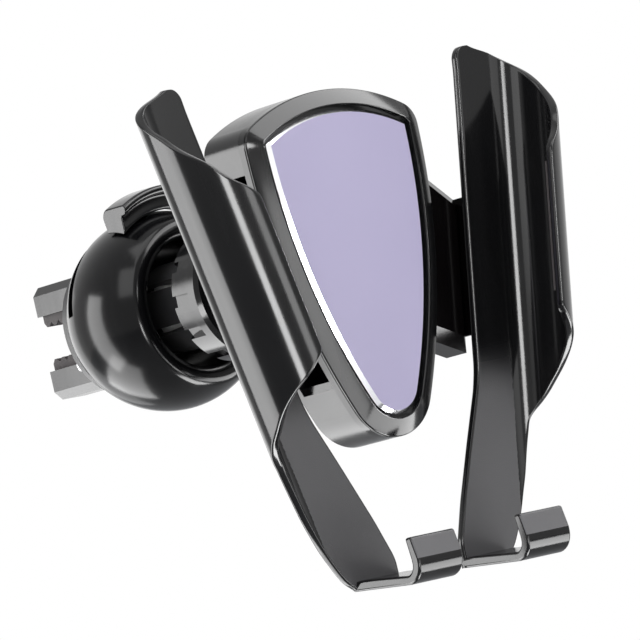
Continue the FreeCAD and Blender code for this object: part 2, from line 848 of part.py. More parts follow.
def foot_shape():
    """The hooked foot's section, carried across the leg's width: shelf, inner round and leaning lip."""
    front_wall = -ARM_BACK.number - size("arm_wall").number
    floor = -size("leg_bottom").number
    drop, thick = size("foot_drop").number, size("foot_thickness").number
    toe = front_wall - size("foot_reach").number
    hook, lip = size("hook_height").number, size("hook_thickness").number
    low = floor - drop
    bend = size("hook_inner_radius").number
    outer = bend + thick
    waist = low - thick + hook * 0.52
    top = low - thick + hook
    points = [
        (front_wall + size("arm_wall").number, floor),
        (front_wall + size("arm_wall").number, floor - thick),
        (toe + outer, low - thick),
        (toe, low - thick + outer),
        (toe, waist),
        (toe + 0.9, top),
        (toe + 0.9 + lip - 0.4, top),
        (toe + lip, waist),
        (toe + lip, low + bend),
        (toe + lip + bend, low + 0.0),
        (front_wall - 2.5, floor),
    ]
    vectors = [Vector(0, y, z) for y, z in points]
    middle = math.sqrt(0.5)
    edges = []
    for index, start in enumerate(vectors):
        end = vectors[(index + 1) % len(vectors)]
        if index == 2:
            centre = Vector(0, toe + outer, low - thick + outer)
            edges.append(Part.Arc(start, centre + Vector(0, -middle * outer, -middle * outer), end).toShape())
        elif index == 8:
            centre = Vector(0, toe + lip + bend, low + bend)
            edges.append(Part.Arc(start, centre + Vector(0, -middle * bend, -middle * bend), end).toShape())
        else:
            edges.append(Part.makeLine(start, end))
    face = Part.Face(Part.Wire(edges))
    face.translate(Vector(size("foot_inner").number, 0, 0))
    return face.extrude(Vector(size("foot_outer").number - size("foot_inner").number, 0, 0))


def arm_shape():
    low, high = -size("leg_bottom").number, size("tongue_top").number + 1.0
    band = trough_band(low, high)
    front = Part.Face(front_outline())
    front.translate(Vector(0, -FACE.number - 30.0, 0))
    band = band.common(front.extrude(Vector(0, 60.0, 0)))
    trough = band.cut(side_waste())
    return trough.fuse(foot_shape()).removeSplitter()


def side_waste():
    """What is trimmed off above and below the trough: its ends slope from the back wall to the lip."""
    wall_front = -ARM_BACK.number - size("arm_wall").number
    lip = -ARM_BACK.number - size("arm_depth").number
    slope = math.tan(math.radians(size("lip_slope").number))
    top, bottom = size("lip_top").number, size("lip_bottom").number
    reach = ARM_OUTER.number * 3
    high = size("tongue_top").number * 2
    low = -size("leg_bottom").number - 10.0
    above = [
        (lip - 3.0, top - 8.0),
        (lip - 0.2, top - 4.0),
        (lip + 0.6, top - 1.2),
        (lip + 2.6, top + 1.9),
        (wall_front, top + slope * (wall_front - lip)),
        (wall_front, high),
        (lip - 3.0, high),
    ]
    below = [
        (lip - 3.0, -bottom + 6.0),
        (lip - 0.2, -bottom + 3.0),
        (lip + 1.2, -bottom - 0.6),
        (wall_front, -bottom - slope * (wall_front - lip)),
        (wall_front, low),
        (lip - 3.0, low),
    ]
    waste = []
    for points in (above, below):
        vectors = [Vector(0, y, z) for y, z in points]
        face = Part.Face(Part.makePolygon(vectors + vectors[:1]))
        waste.append(face.extrude(Vector(reach, 0, 0)))
    return waste[0].fuse(waste[1])


def lip_pad_shape():
    """A soft strip on the inside of the lip, along its free edge."""
    low = size("lip_pad_margin").number - size("lip_bottom").number
    high = size("lip_top").number - size("lip_pad_margin").number
    _, centre = trough_edges(0.0, 0.0, low)
    outer = size("arm_front_radius").number - size("arm_wall").number
    inner = outer - size("lip_pad_thickness").number
    last = size("lip_angle").number - 6.0
    first = last - size("lip_pad_angle").number
    skin = arc_through(centre, outer, -last, -first)
    lining = arc_through(centre, inner, -last, -first)
    caps = []
    for angle in (-last, -first):
        ray = Vector(math.cos(math.radians(angle)), math.sin(math.radians(angle)), 0)
        caps.append(Part.makeLine(centre + ray * outer, centre + ray * inner))
    outline = Part.Wire(Part.__sortEdges__([skin, lining] + caps))
    return Part.Face(outline).extrude(Vector(lean_at(high) - lean_at(low), 0, high - low))


ARM_SCREWS = (-3.0, -16.0)


def arm_screws_shape():
    """Two screws from behind the hub's flange into the arm's back wall."""
    back = FLANGE_BACK.number
    end = -ARM_BACK.number - size("arm_wall").number * 0.5
    length = back - end
    solids = []
    for height in ARM_SCREWS:
        x = ARM_INNER.number + 4.2 + lean_at(height)
        solids.append(screw(back + size("screw_head_height").number, x, height, length))
    return Part.Compound(solids)


def drill_for_screws(shape, screws):
    for solid in screws.Solids:
        shape = shape.cut(solid)
    return shape


def build_arms():
    screws = arm_screws_shape()
    arm = drill_for_screws(arm_shape(), screws)
    right = solid_feature("right_arm", arm)
    mirrored("left_arm", right, Vector(1, 0, 0))
    right_pad = solid_feature("right_lip_pad", lip_pad_shape())
    mirrored("left_lip_pad", right_pad, Vector(1, 0, 0))
    right_screws = solid_feature("right_arm_screws", screws)
    mirrored("left_arm_screws", right_screws, Vector(1, 0, 0))
    for hub in (item for item in SUBPARTS if item.Label.endswith("_hub")):
        cutter = screws if hub.Label.startswith("right") else mirror_x(screws)
        hub.Shape = drill_for_screws(hub.Shape, cutter)


# Ball joint: socket on the holder, ball on the clip
def build_ball_socket():
    body = new_body("ball_socket")
    flange_back = COVER_BACK - size("socket_flange_thickness")
    cavity = size("ball_radius") + size("ball_gap") * 2 + size("liner_thickness")
    behind = size("socket_behind_ball")
    rim = root(cavity * cavity - behind * behind)
    nut_front = BALL + size("nut_ahead_of_ball") + size("nut_length")
    points = [
        (-COVER_BACK, 0.0),
        (-COVER_BACK, size("socket_flange_radius")),
        (-flange_back, size("socket_flange_radius")),
        (-flange_back + 0.8, size("socket_neck_radius")),
        (-(nut_front + 2.0), size("socket_neck_radius")),
        (-(nut_front + 0.6), size("socket_radius")),
        (behind - BALL, size("socket_radius")),
        (behind - BALL, rim),
        (-(BALL + cavity), 0.0),
    ]
    turn_round(body, draw_loop(new_sketch(body, "YZ_Plane"), points, {7: (cavity, 1)}))
    half = size("socket_slot_width") / 2
    slot = new_sketch(body, "XY_Plane")
    start, end = behind + 1.0 - BALL, behind - size("socket_slot_depth") - BALL
    draw_loop(slot, [(-half, end), (half, end), (half, start), (-half, start)])
    cut = pocket(body, slot, size("socket_radius") + 2.0, "slot", other_way=True)
    repeat_round(body, cut, size("socket_slot_count"))
    holes = new_sketch(body, "XZ_Plane", COVER_BACK)
    for x, z in socket_screw_points():
        draw_circle(holes, x, z, size("screw_radius"))
    pocket(body, holes, size("socket_screw_depth"), "screw_holes")


def build_socket_screws():
    head_top = -COVER_FLOOR.number - size("screw_head_height").number
    length = size("cover_wall").number + size("socket_screw_depth").number
    solids = [screw(head_top, x, z, length, flip=-1.0) for x, z in socket_screw_points()]
    solid_feature("socket_screws", Part.Compound(solids))


def build_lock_nut():
    body = new_body("lock_nut")
    bore = size("socket_radius") + size("running_gap")
    rear = BALL + size("nut_ahead_of_ball")
    front = rear + size("nut_length")
    outer = size("nut_radius")
    points = [
        (-front, bore),
        (-rear, bore),
        (-rear, outer - 0.8),
        (-(rear + 0.8), outer),
        (-(front - 0.8), outer),
        (-front, outer - 0.8),
    ]
    turn_round(body, draw_loop(new_sketch(body, "YZ_Plane"), points))
    half, floor = size("nut_notch_width") / 2, outer - size("nut_notch_depth")
    notch = new_sketch(body, "XZ_Plane", rear + size("nut_notch_length"))
    draw_loop(notch, [(-half, floor), (half, floor), (half, outer + 1.0), (-half, outer + 1.0)])
    cut = pocket(body, notch, size("nut_notch_length") + 1.0, "notch")
    repeat_round(body, cut, size("nut_notch_count"))


def shell_profile(body, inner, outer, first, last):
    """A slice of a hollow sphere about the ball's centre, between two angles from the phone's side."""
    points, radii = [], []
    for radius, angles in ((outer, (first, last)), (inner, (last, first))):
        for angle in angles:
            turned = as_dim(angle)
            points.append((-(BALL + radius * cosine(turned)), radius * sine(turned)))
            radii.append(radius)
    sketch = new_sketch(body, "YZ_Plane")
    return draw_loop(sketch, points, {0: (outer, -1), 2: (inner, 1)})


def build_liners():
    inner = size("ball_radius") + size("ball_gap")
    outer = inner + size("liner_thickness")
    cup = new_body("liner_cup")
    turn_round(cup, shell_profile(cup, inner, outer, 6.0, 36.0))
    ring = new_body("liner_ring")
    turn_round(ring, shell_profile(ring, inner, outer, 56.0, 104.0))


def partition_front():
    return size("shell_rear") + size("chamber_depth") + size("partition_thickness")


def build_ball_stud():
    body = new_body("ball_stud")
    radius, neck = size("ball_radius"), size("stud_neck_radius")
    seat = partition_front()
    throat = root(radius * radius - neck * neck)
    shank_end = size("cam_distance")
    points = [
        (-(BALL + radius), 0.0),
        (throat - BALL, neck),
        (-(seat + size("stud_flange_thickness")), neck),
        (-(seat + size("stud_flange_thickness")), size("stud_flange_radius")),
        (-seat, size("stud_flange_radius")),
        (-seat, size("stud_shank_radius")),
        (-shank_end, size("stud_shank_radius")),
        (-shank_end, 0.0),
    ]
    sketch = new_sketch(body, "YZ_Plane")
    top = (-BALL, radius)
    loop = [points[0], top] + points[1:]
    turn_round(body, draw_loop(sketch, loop, {0: (radius, -1), 1: (radius, -1)}))


def build_stud_nut():
    blank = doc.addObject("Part::Prism", "stud_nut_blank")
    blank.Polygon = 6
    tie(blank, "Circumradius", size("stud_shank_radius") + 1.6)
    tie(blank, "Height", as_dim(1.8))
    bore = doc.addObject("Part::Cylinder", "stud_nut_bore")
    tie(bore, "Radius", size("stud_shank_radius"))
    tie(bore, "Height", as_dim(4.0))
    bore.Placement = Placement(Vector(0, 0, -1), Rotation())
    nut = doc.addObject("Part::Cut", "stud_nut")
    nut.Base, nut.Tool = blank, bore
    face = size("shell_rear") + size("chamber_depth")
    nut.Placement = Placement(Vector(0, -face.number + 1.8, 0), Rotation(Vector(1, 0, 0), 90))
    nut.setExpression("Placement.Base.y", (1.8 - face).text)
    SUBPARTS.append(nut)


# Vent clip: housing, cam, lever and jaws
LEVER_MIDDLE = 90.0


def build_clip_housing():
    body = new_body("clip_housing")
    centre, radius = size("bulb_distance"), size("bulb_radius")
    mouth, lip = size("mouth_distance"), size("mouth_lip_radius")
    front = mouth - 1.0
    crest = root(radius * radius - (front - centre) * (front - centre))
    rear = size("shell_rear")
    rear_edge = root(radius * radius - (centre - rear) * (centre - rear))
    chamber_front = rear + size("chamber_depth")
    seat = partition_front()
    bore = size("stud_shank_radius") + 0.02
    throat = size("mouth_radius")
    points = [
        (-front, crest),
        (-mouth, throat + lip),
        (-(mouth - lip), throat),
        (-seat, throat),
        (-seat, bore),
        (-chamber_front, bore),
        (-chamber_front, size("chamber_radius")),
        (-rear, size("chamber_radius")),
        (-rear, rear_edge),
    ]
    arcs = {0: (lip + 0.4, 1), 1: (lip, 1), 8: (radius, 1)}
    turn_round(body, draw_loop(new_sketch(body, "YZ_Plane"), points, arcs))
    bosses = new_sketch(body, "XZ_Plane", rear)
    for x, z in plate_screw_points():
        draw_circle(bosses, x, z, size("screw_boss_radius"))
    pad(body, bosses, size("chamber_depth"), "screw_bosses")
    holes = new_sketch(body, "XZ_Plane", rear)
    for x, z in plate_screw_points():
        draw_circle(holes, x, z, size("screw_radius"))
    pocket(body, holes, size("chamber_depth") - 2.0, "screw_holes", other_way=True)
    near, far = size("cam_distance") - 0.4, size("cam_distance") + size("cam_thickness") + 0.4
    sweep = size("lever_travel") + size("lever_stem_angle") + 6.0
    turned = -(float(size("lever_travel")) / 2)
    slot = new_sketch(body, "YZ_Plane", None, turned)
    low, high = size("chamber_radius") - 1.0, radius + 2.0
    draw_loop(slot, [(-far, low), (-near, low), (-near, high), (-far, high)])
    groove_round(body, slot, sweep, "lever_slot")


def plate_screw_points():
    """The three plate screws, clear of the lever's sweep."""
    circle = size("screw_circle")
    return [(circle * cosine(as_dim(angle)), circle * sine(as_dim(angle))) for angle in (0.01, 212.0, 328.0)]


def jaw_window(body, lift, upper):
    """A slot that a jaw slides in, with room for its travel."""
    half = size("jaw_half_width") + 0.15
    low = size("jaw_half_gap") - size("jaw_travel") - 0.3
    high = size("jaw_half_gap") + size("jaw_thickness") + 0.3
    if not upper:
        low, high = -high, -low
    corners = [(-half, low), (half, low), (half, high), (-half, high)]
    return draw_loop(new_sketch(body, "XZ_Plane", lift), corners)


def build_clip_back_plate():
    body = new_body("clip_back_plate")
    rear = size("shell_rear") - size("plate_thickness")
    rim = draw_circle(new_sketch(body, "XZ_Plane", rear), 0.0, 0.0, size("plate_radius"))
    disc = pad(body, rim, size("plate_thickness"))
    dress(body, "PartDesign::Chamfer", disc, edge_at_y(-rear.number), as_dim(0.8), "bevel")
    for upper, what in ((True, "upper_slot"), (False, "lower_slot")):
        pocket(body, jaw_window(body, rear, upper), size("plate_thickness") + 1.0, what, other_way=True)
    holes = new_sketch(body, "XZ_Plane", rear)
    for x, z in plate_screw_points():
        draw_circle(holes, x, z, size("screw_radius"))
    pocket(body, holes, size("plate_thickness"), "screw_holes", other_way=True)


def build_clip_screws():
    rear = -(size("shell_rear") - size("plate_thickness")).number
    length = size("plate_thickness").number + size("chamber_depth").number - 3.0
    head = size("screw_head_height").number
    solids = [screw(rear + head, x, z, length) for x, z in plate_screw_points()]
    solid_feature("clip_screws", Part.Compound(solids))


def spiral_slot(start):
    """A cam slot whose radius falls evenly with angle, so that the jaws close in step with the lever."""
    travel, turn = size("jaw_travel").number, size("lever_travel").number
    circle = size("cam_pin_circle").number
    half = size("cam_pin_radius").number + size("slot_clearance").number
    steps = 14
    sides = []
    for offset in (half, -half):
        curve = []
        for step in range(steps + 1):
            share = -0.02 + 1.04 * step / steps
            angle = math.radians(start - turn * share)
            radius = circle - travel * share
            slope = travel / math.radians(turn)
            scale = math.hypot(radius, slope)
            outward = (radius / scale, slope / scale)
            ray = (math.cos(angle), math.sin(angle))
            ahead = (math.sin(angle), -math.cos(angle))
            x = ray[0] * (radius + offset * outward[0]) + ahead[0] * offset * outward[1]
            z = ray[1] * (radius + offset * outward[0]) + ahead[1] * offset * outward[1]
            curve.append(Vector(x, 0, z))
        sides.append(curve)
    edges = []
    for curve in sides:
        spline = Part.BSplineCurve()
        spline.interpolate(curve)
        edges.append(spline.toShape())
    for end in (0, -1):
        first, last = sides[0][end], sides[1][end]
        inner = sides[0][1 if end == 0 else -2]
        away = (first - inner).normalize() * half
        middle = (first + last) * 0.5 + away
        edges.append(Part.Arc(first, middle, last).toShape())
    return Part.Face(Part.Wire(Part.__sortEdges__(edges)))


def build_cam_disc():
    front = -(size("cam_distance") + size("cam_thickness")).number
    thickness = size("cam_thickness").number
    disc = along_y(front, size("cam_radius"), thickness)
    disc = disc.cut(along_y(front - 1.0, size("stud_shank_radius") + size("running_gap"), thickness + 2.0))
    for start in (90.0, 270.0):
        face = spiral_slot(start)
        face.translate(Vector(0, front - 1.0, 0))
        disc = disc.cut(face.extrude(Vector(0, thickness + 2.0, 0)))
    solid_feature("cam_disc", disc)


def build_lever():
    """The lever: a thumb block that rides over the bulb, and a stem that joins it to the cam disc."""
    body = new_body("lever")
    centre = size("bulb_distance")
    under = size("bulb_radius") + size("lever_gap")
    top = under + size("lever_height") - 0.5
    front, heel = size("lever_front"), size("lever_front") - size("lever_width")
    nose = front + size("lever_flange")
    ledge = top - size("lever_flange_height")
    low_front = root(under * under - (front - centre) * (front - centre))
    low_heel = root(under * under - (heel - centre) * (heel - centre))
    points = [
        (-front, low_front),
        (-front, ledge),
        (-nose, ledge),
        (-nose, top - 0.6),
        (-(nose - 0.6), top),
        (-(heel + 0.8), top),
        (-heel, top - 0.8),
        (-heel, low_heel),
    ]
    turn_round(body, draw_loop(new_sketch(body, "YZ_Plane"), points, {7: (under, 1)}), 80.0, "handle")
    trim = new_sketch(body, "XZ_Plane", nose + 1.0)
    half = size("lever_half_length")
    for side in (1.0, -1.0):
        near, far = half * side, (half + 20.0) * side
        draw_loop(trim, [(near, 0.0), (far, 0.0), (far, top + 5.0), (near, top + 5.0)])
    pocket(body, trim, size("lever_width") + size("lever_flange") + 2.0, "ends")
    rear = size("cam_distance") - 1.4
    root_top = under + size("lever_root_height")
    bridge = [(-(heel + 0.5), under), (-(heel + 0.5), root_top), (-rear, root_top), (-rear, under)]
    turn_round(body, draw_loop(new_sketch(body, "YZ_Plane"), bridge), size("lever_stem_angle"), "bridge")
    stem_front, stem_rear = size("cam_distance") + size("cam_thickness"), size("cam_distance")
    low, high = size("cam_radius"), under + 0.4
    stem = [(-stem_front, low), (-stem_rear, low), (-stem_rear, high), (-stem_front, high)]
    turn_round(body, draw_loop(new_sketch(body, "YZ_Plane"), stem), size("lever_stem_angle"), "stem")


def build_jaws():
    body = new_body("upper_jaw")
    half, gap = size("jaw_half_width"), size("jaw_half_gap")
    top, bevel = gap + size("jaw_thickness"), size("jaw_bevel")
    rear = size("shell_rear") + 0.3
    section = [(-half, gap), (half, gap), (half, top - bevel)]
    section += [(half - bevel, top), (bevel - half, top), (-half, top - bevel)]
    reach = size("jaw_reach")
    pad(body, draw_loop(new_sketch(body, "XZ_Plane", -reach), section), reach + rear, "prong")
    wide = size("slider_half_width")
    low = gap - size("jaw_heel")
    slider = [(-wide, low), (wide, low), (wide, top - 0.2), (-wide, top - 0.2)]
    front = size("cam_distance") - 0.4
    pad(body, draw_loop(new_sketch(body, "XZ_Plane", rear), slider), front - rear, "slider")
    pin_sketch = new_sketch(body, "XZ_Plane", front - 0.5)
    pin = draw_circle(pin_sketch, 0.0, size("cam_pin_circle"), size("cam_pin_radius"))
    pad(body, pin, size("cam_thickness") + 1.1, "cam_pin")
    doc.recompute()
    mirrored("lower_jaw", body, Vector(0, 0, 1))


def build_jaw_pads():
    """Ribbed rubber pads on the jaws' inner faces."""
    body = new_body("upper_jaw_pad")
    gap, thick = size("jaw_half_gap"), size("jaw_pad_thickness")
    rib, length = size("jaw_pad_rib"), size("jaw_pad_length")
    count = int(size("jaw_pad_ribs").number)
    end = size("jaw_reach") - 0.8
    step = length / size("jaw_pad_ribs")
    points = [(end - length, gap), (end, gap)]
    for index in range(count):
        start = end - step * index
        points.append((start, gap - thick))
        points.append((start - step * 0.3, gap - thick - rib))
        points.append((start - step * 0.6, gap - thick - rib))
    points.append((end - length, gap - thick))
    half = size("jaw_half_width") - 0.8
    pad(body, draw_loop(new_sketch(body, "YZ_Plane", -half), points), half * 2)
    mirrored("lower_jaw_pad", body, Vector(0, 0, 1))


def build_all():
    build_face_panel()
    build_front_frame()
    build_back_cover()
    build_body_screws()
    build_pivot_pins()
    build_hubs()
    build_springs()
    build_arms()
    build_ball_socket()
    build_socket_screws()
    build_lock_nut()
    build_liners()
    build_ball_stud()
    build_stud_nut()
    build_clip_housing()
    build_clip_back_plate()
    build_clip_screws()
    build_cam_disc()
    build_lever()
    build_jaws()
    build_jaw_pads()


def check_document():
    """Stop if any object failed or any sub-part has no sound shape."""
    for item in doc.Objects:
        if "Invalid" in item.State or "Error" in item.State:
            raise RuntimeError(f"{item.Label} failed: {item.State}")
    for item in SUBPARTS:
        if item.Shape.isNull() or not item.Shape.isValid():
            raise RuntimeError(f"{item.Label} has no valid shape")


build_all()
doc.recompute()
check_document()
os.makedirs("parts", exist_ok=True)
for part in SUBPARTS:
    part.Shape.exportStep(f"parts/{part.Label}.step")
    solids = len(part.Shape.Solids)
    print(f"{part.Label}: {solids} solid(s), {part.Shape.Volume:.1f} mm3")
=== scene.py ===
"""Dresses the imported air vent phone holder: moulded arms and clip, plastic, rubber and a plain studio."""
import logging
import math
from dataclasses import dataclass, field, replace
from enum import Enum

import bmesh
import bpy
import numpy as np
from bpy.types import Material, Node, NodeTree, Object
from mathutils import Matrix, Vector


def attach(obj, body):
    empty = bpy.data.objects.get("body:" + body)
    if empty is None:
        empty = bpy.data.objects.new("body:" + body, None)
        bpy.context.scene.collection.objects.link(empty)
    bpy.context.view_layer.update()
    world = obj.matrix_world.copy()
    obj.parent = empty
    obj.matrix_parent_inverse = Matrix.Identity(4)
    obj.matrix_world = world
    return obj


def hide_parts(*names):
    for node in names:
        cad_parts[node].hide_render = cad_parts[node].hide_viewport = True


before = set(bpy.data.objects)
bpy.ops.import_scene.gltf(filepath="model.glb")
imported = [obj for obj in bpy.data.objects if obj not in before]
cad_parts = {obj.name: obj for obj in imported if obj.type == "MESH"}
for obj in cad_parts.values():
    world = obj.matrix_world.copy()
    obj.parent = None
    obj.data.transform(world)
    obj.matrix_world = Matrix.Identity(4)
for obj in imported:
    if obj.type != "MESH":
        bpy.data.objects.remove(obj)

MM = 0.001
JOIN_DISTANCE = 0.002 * MM
BEVEL_FACES = 3
BEVEL_ANGLE = math.radians(32.0)
# Differences that count as none: SLACK between surfaces, TINY where only rounding differs.
SLACK = 0.01
TINY = 1e-6
LOG = logging.getLogger("phone_holder")


# Meshes


@dataclass
class MeshBuilder:
    """Gathers grids and caps in millimetres and turns them into one Blender object.

    Args:
        points: Blocks of points, in millimetres.
        faces: Blocks of faces as lists of point indices.
        finishes: For each block of faces, the index of its material.
        count: Number of points so far.
    """

    points: list[np.ndarray] = field(default_factory=list)
    faces: list[list] = field(default_factory=list)
    finishes: list[np.ndarray] = field(default_factory=list)
    count: int = 0

    def add_grid(
        self,
        grid: np.ndarray,
        closed_rows: bool = False,
        closed_cols: bool = False,
        finish: int | np.ndarray = 0,
        drop: np.ndarray | None = None,
    ) -> None:
        """Add a grid of points as quads.

        Args:
            grid: Points, rows by columns by three.
            closed_rows: Join the last row to the first.
            closed_cols: Join each row's last point to its first.
            finish: Material index of all the quads, or of each quad.
            drop: True for each quad that is left out.
        """
        rows, cols = grid.shape[:2]
        row = np.arange(rows if closed_rows else rows - 1)
        col = np.arange(cols if closed_cols else cols - 1)
        i, j = np.meshgrid(row, col, indexing="ij")
        below, beside = (i + 1) % rows, (j + 1) % cols
        corners = (i * cols + j, i * cols + beside, below * cols + beside, below * cols + j)
        quads = np.stack(corners, axis=-1).reshape(-1, 4)
        kinds = np.broadcast_to(np.ravel(finish), len(quads))
        if drop is not None:
            keep = ~drop.reshape(-1)
            quads, kinds = quads[keep], kinds[keep]
        self.points.append(grid.reshape(-1, 3))
        self.faces.append((quads + self.count).tolist())
        self.finishes.append(kinds)
        self.count += rows * cols

    def add_cap(self, loop: np.ndarray, finish: int = 0) -> None:
        """Close a loop of points with one flat face."""
        self.points.append(loop)
        self.faces.append([(np.arange(len(loop)) + self.count).tolist()])
        self.finishes.append(np.array([finish]))
        self.count += len(loop)

    def add_bar(self, grid: np.ndarray, finish: int | np.ndarray = 0) -> None:
        """Add a grid whose rows are closed outlines, with a cap on each end."""
        self.add_grid(grid, closed_cols=True, finish=finish)
        self.add_cap(grid[0])
        self.add_cap(grid[-1])

    def build(self, name: str, finishes: list[Material], sharp: float = 40.0) -> Object:
        """Make the object, with coinciding points joined and every face turned outwards.

        Args:
            name: The object's name.
            finishes: Its materials, in slot order.
            sharp: Edges that turn by more than this many degrees stay crisp.

        Returns:
            The new object, at the origin, with its place in its mesh.
        """
        mesh = bpy.data.meshes.new(name)
        faces = [face for block in self.faces for face in block]
        mesh.from_pydata(np.concatenate(self.points) * MM, [], faces)
        mesh.polygons.foreach_set("material_index", np.concatenate(self.finishes).astype(np.int32))
        for material in finishes:
            mesh.materials.append(material)
        work = bmesh.new()
        work.from_mesh(mesh)
        bmesh.ops.remove_doubles(work, verts=work.verts, dist=JOIN_DISTANCE)
        bmesh.ops.recalc_face_normals(work, faces=work.faces)
        work.to_mesh(mesh)
        work.free()
        mesh.polygons.foreach_set("use_smooth", np.ones(len(mesh.polygons), dtype=bool))
        mesh.set_sharp_from_angle(angle=math.radians(sharp))
        piece = bpy.data.objects.new(name, mesh)
        bpy.context.scene.collection.objects.link(piece)
        LOG.info("%s: %d faces", name, len(mesh.polygons))
        return piece


def soften(piece: Object, width: float) -> None:
    """Round a piece's crisp edges, to a radius in millimetres."""
    bevel = piece.modifiers.new("rounded_edges", "BEVEL")
    bevel.width = width * MM
    bevel.segments = BEVEL_FACES
    bevel.limit_method = "ANGLE"
    bevel.angle_limit = BEVEL_ANGLE


def smoothed(values: np.ndarray, reach: int) -> np.ndarray:
    """Average each value with its neighbours: a moving mean over 2 x reach + 1 values, with the ends held."""
    padded = np.pad(values, reach, mode="edge")
    return np.convolve(padded, np.ones(2 * reach + 1) / (2 * reach + 1), mode="valid")


def turned_profile(profile: np.ndarray, angles: np.ndarray) -> np.ndarray:
    """Turn a profile about the clip's axis.

    Each point (y, r) becomes (r cos a, y, r sin a) for each angle a, from +X towards +Z.

    Args:
        profile: Points (y, r), in millimetres.
        angles: Angles, in degrees.

    Returns:
        A grid, angles by profile points by three.
    """
    turn = np.radians(angles)
    y, r = profile[:, 0], profile[:, 1]
    x = np.cos(turn)[:, None] * r[None, :]
    z = np.sin(turn)[:, None] * r[None, :]
    return np.stack([x, np.broadcast_to(y, x.shape), z], axis=-1)


def arc_points(
    centre: tuple[float, float], radius: float, first: float, last: float, steps: int
) -> np.ndarray:
    """Points on a circular arc: centre + radius (cos a, sin a) for a from first to last, in degrees."""
    angles = np.radians(np.linspace(first, last, steps))
    return np.stack([centre[0] + radius * np.cos(angles), centre[1] + radius * np.sin(angles)], axis=-1)


# Shader nodes


def add_node(tree: NodeTree, kind: str, values: dict | None = None, **settings: object) -> Node:
    """Add a shader node.

    Args:
        tree: The node tree.
        kind: The node's type, without its ShaderNode prefix.
        values: Values of its inputs, by name or number.
        settings: Its settings, which are set first.

    Returns:
        The node.
    """
    node = tree.nodes.new(f"ShaderNode{kind}")
    for name, setting in settings.items():
        setattr(node, name, setting)
    for name, value in (values or {}).items():
        node.inputs[name].default_value = value
    return node


def wire(tree: NodeTree, *routes: tuple) -> None:
    """Link nodes.

    Args:
        tree: The node tree.
        routes: Each link's source node, output, target node and input, by name or number.
    """
    for source, output, target, port in routes:
        tree.links.new(source.outputs[output], target.inputs[port])


def new_group(name: str, numbers: tuple[str, ...], output: str) -> tuple[NodeTree, Node, Node]:
    """Start a shader node group that turns a vector and some numbers into one number.

    Args:
        name: The group's name.
        numbers: Names of its inputs beside Vector.
        output: Name of its output.

    Returns:
        The group, its input node and its output node.
    """
    tree = bpy.data.node_groups.new(name, "ShaderNodeTree")
    tree.interface.new_socket(name="Vector", in_out="INPUT", socket_type="NodeSocketVector")
    for label in numbers:
        tree.interface.new_socket(name=label, in_out="INPUT", socket_type="NodeSocketFloat")
    tree.interface.new_socket(name=output, in_out="OUTPUT", socket_type="NodeSocketFloat")
    return tree, tree.nodes.new("NodeGroupInput"), tree.nodes.new("NodeGroupOutput")


class Effects:
    """The shader effects that several finishes share, each built once."""

    def __init__(self) -> None:
        """Build the groups."""
        self.mottle = self._mottle()
        self.grain = self._grain()
        self.wipe = self._wipe()

    def _mottle(self) -> NodeTree:
        """Cloudy variation between two values: a low-frequency noise mapped to Low..High."""
        tree, source, sink = new_group("cloudy_variation", ("Scale", "Low", "High"), "Value")
        noise = add_node(tree, "TexNoise", {"Detail": 3.0})
        spread = add_node(tree, "MapRange", {"From Min": 0.3, "From Max": 0.7})
        wire(tree, (source, "Vector", noise, "Vector"), (source, "Scale", noise, "Scale"))
        wire(tree, (noise, "Fac", spread, "Value"), (source, "Low", spread, "To Min"))
        wire(tree, (source, "High", spread, "To Max"), (spread, "Result", sink, "Value"))
        return tree

    def _grain(self) -> NodeTree:
        """Moulded grain: fine noise and small cells added into one height."""
        tree, source, sink = new_group("moulded_grain", ("Scale", "Cells"), "Height")
        noise = add_node(tree, "TexNoise", {"Detail": 4.0})
        cells = add_node(tree, "TexVoronoi")
        total = add_node(tree, "Math", operation="MULTIPLY_ADD")
        for texture in (noise, cells):
            wire(tree, (source, "Vector", texture, "Vector"), (source, "Scale", texture, "Scale"))
        wire(tree, (cells, "Distance", total, 0), (source, "Cells", total, 1))
        wire(tree, (noise, "Fac", total, 2), (total, "Value", sink, "Height"))
        return tree

    def _wipe(self) -> NodeTree:
        """Faint wipe marks: noise drawn out along one direction, as a mask."""
        tree, source, sink = new_group("wipe_marks", ("Scale", "Amount"), "Mask")
        stretch = add_node(tree, "Mapping", {"Scale": (1.0, 1.0, 0.06)})
        noise = add_node(tree, "TexNoise", {"Detail": 5.0})
        ramp = add_node(tree, "MapRange", {"From Min": 0.52, "From Max": 0.74})
        amount = add_node(tree, "Math", operation="MULTIPLY")
        wire(tree, (source, "Vector", stretch, "Vector"), (stretch, "Vector", noise, "Vector"))
        wire(tree, (source, "Scale", noise, "Scale"), (noise, "Fac", ramp, "Value"))
        wire(tree, (ramp, "Result", amount, 0), (source, "Amount", amount, 1))
        wire(tree, (amount, "Value", sink, "Mask"))
        return tree


# Finishes

MARK_SCALE = 420.0
MARK_DULLING = 0.12
CLOUD_SCALE = 70.0
GRAIN_CELLS = 0.5
MATTE_DULLING = 0.42


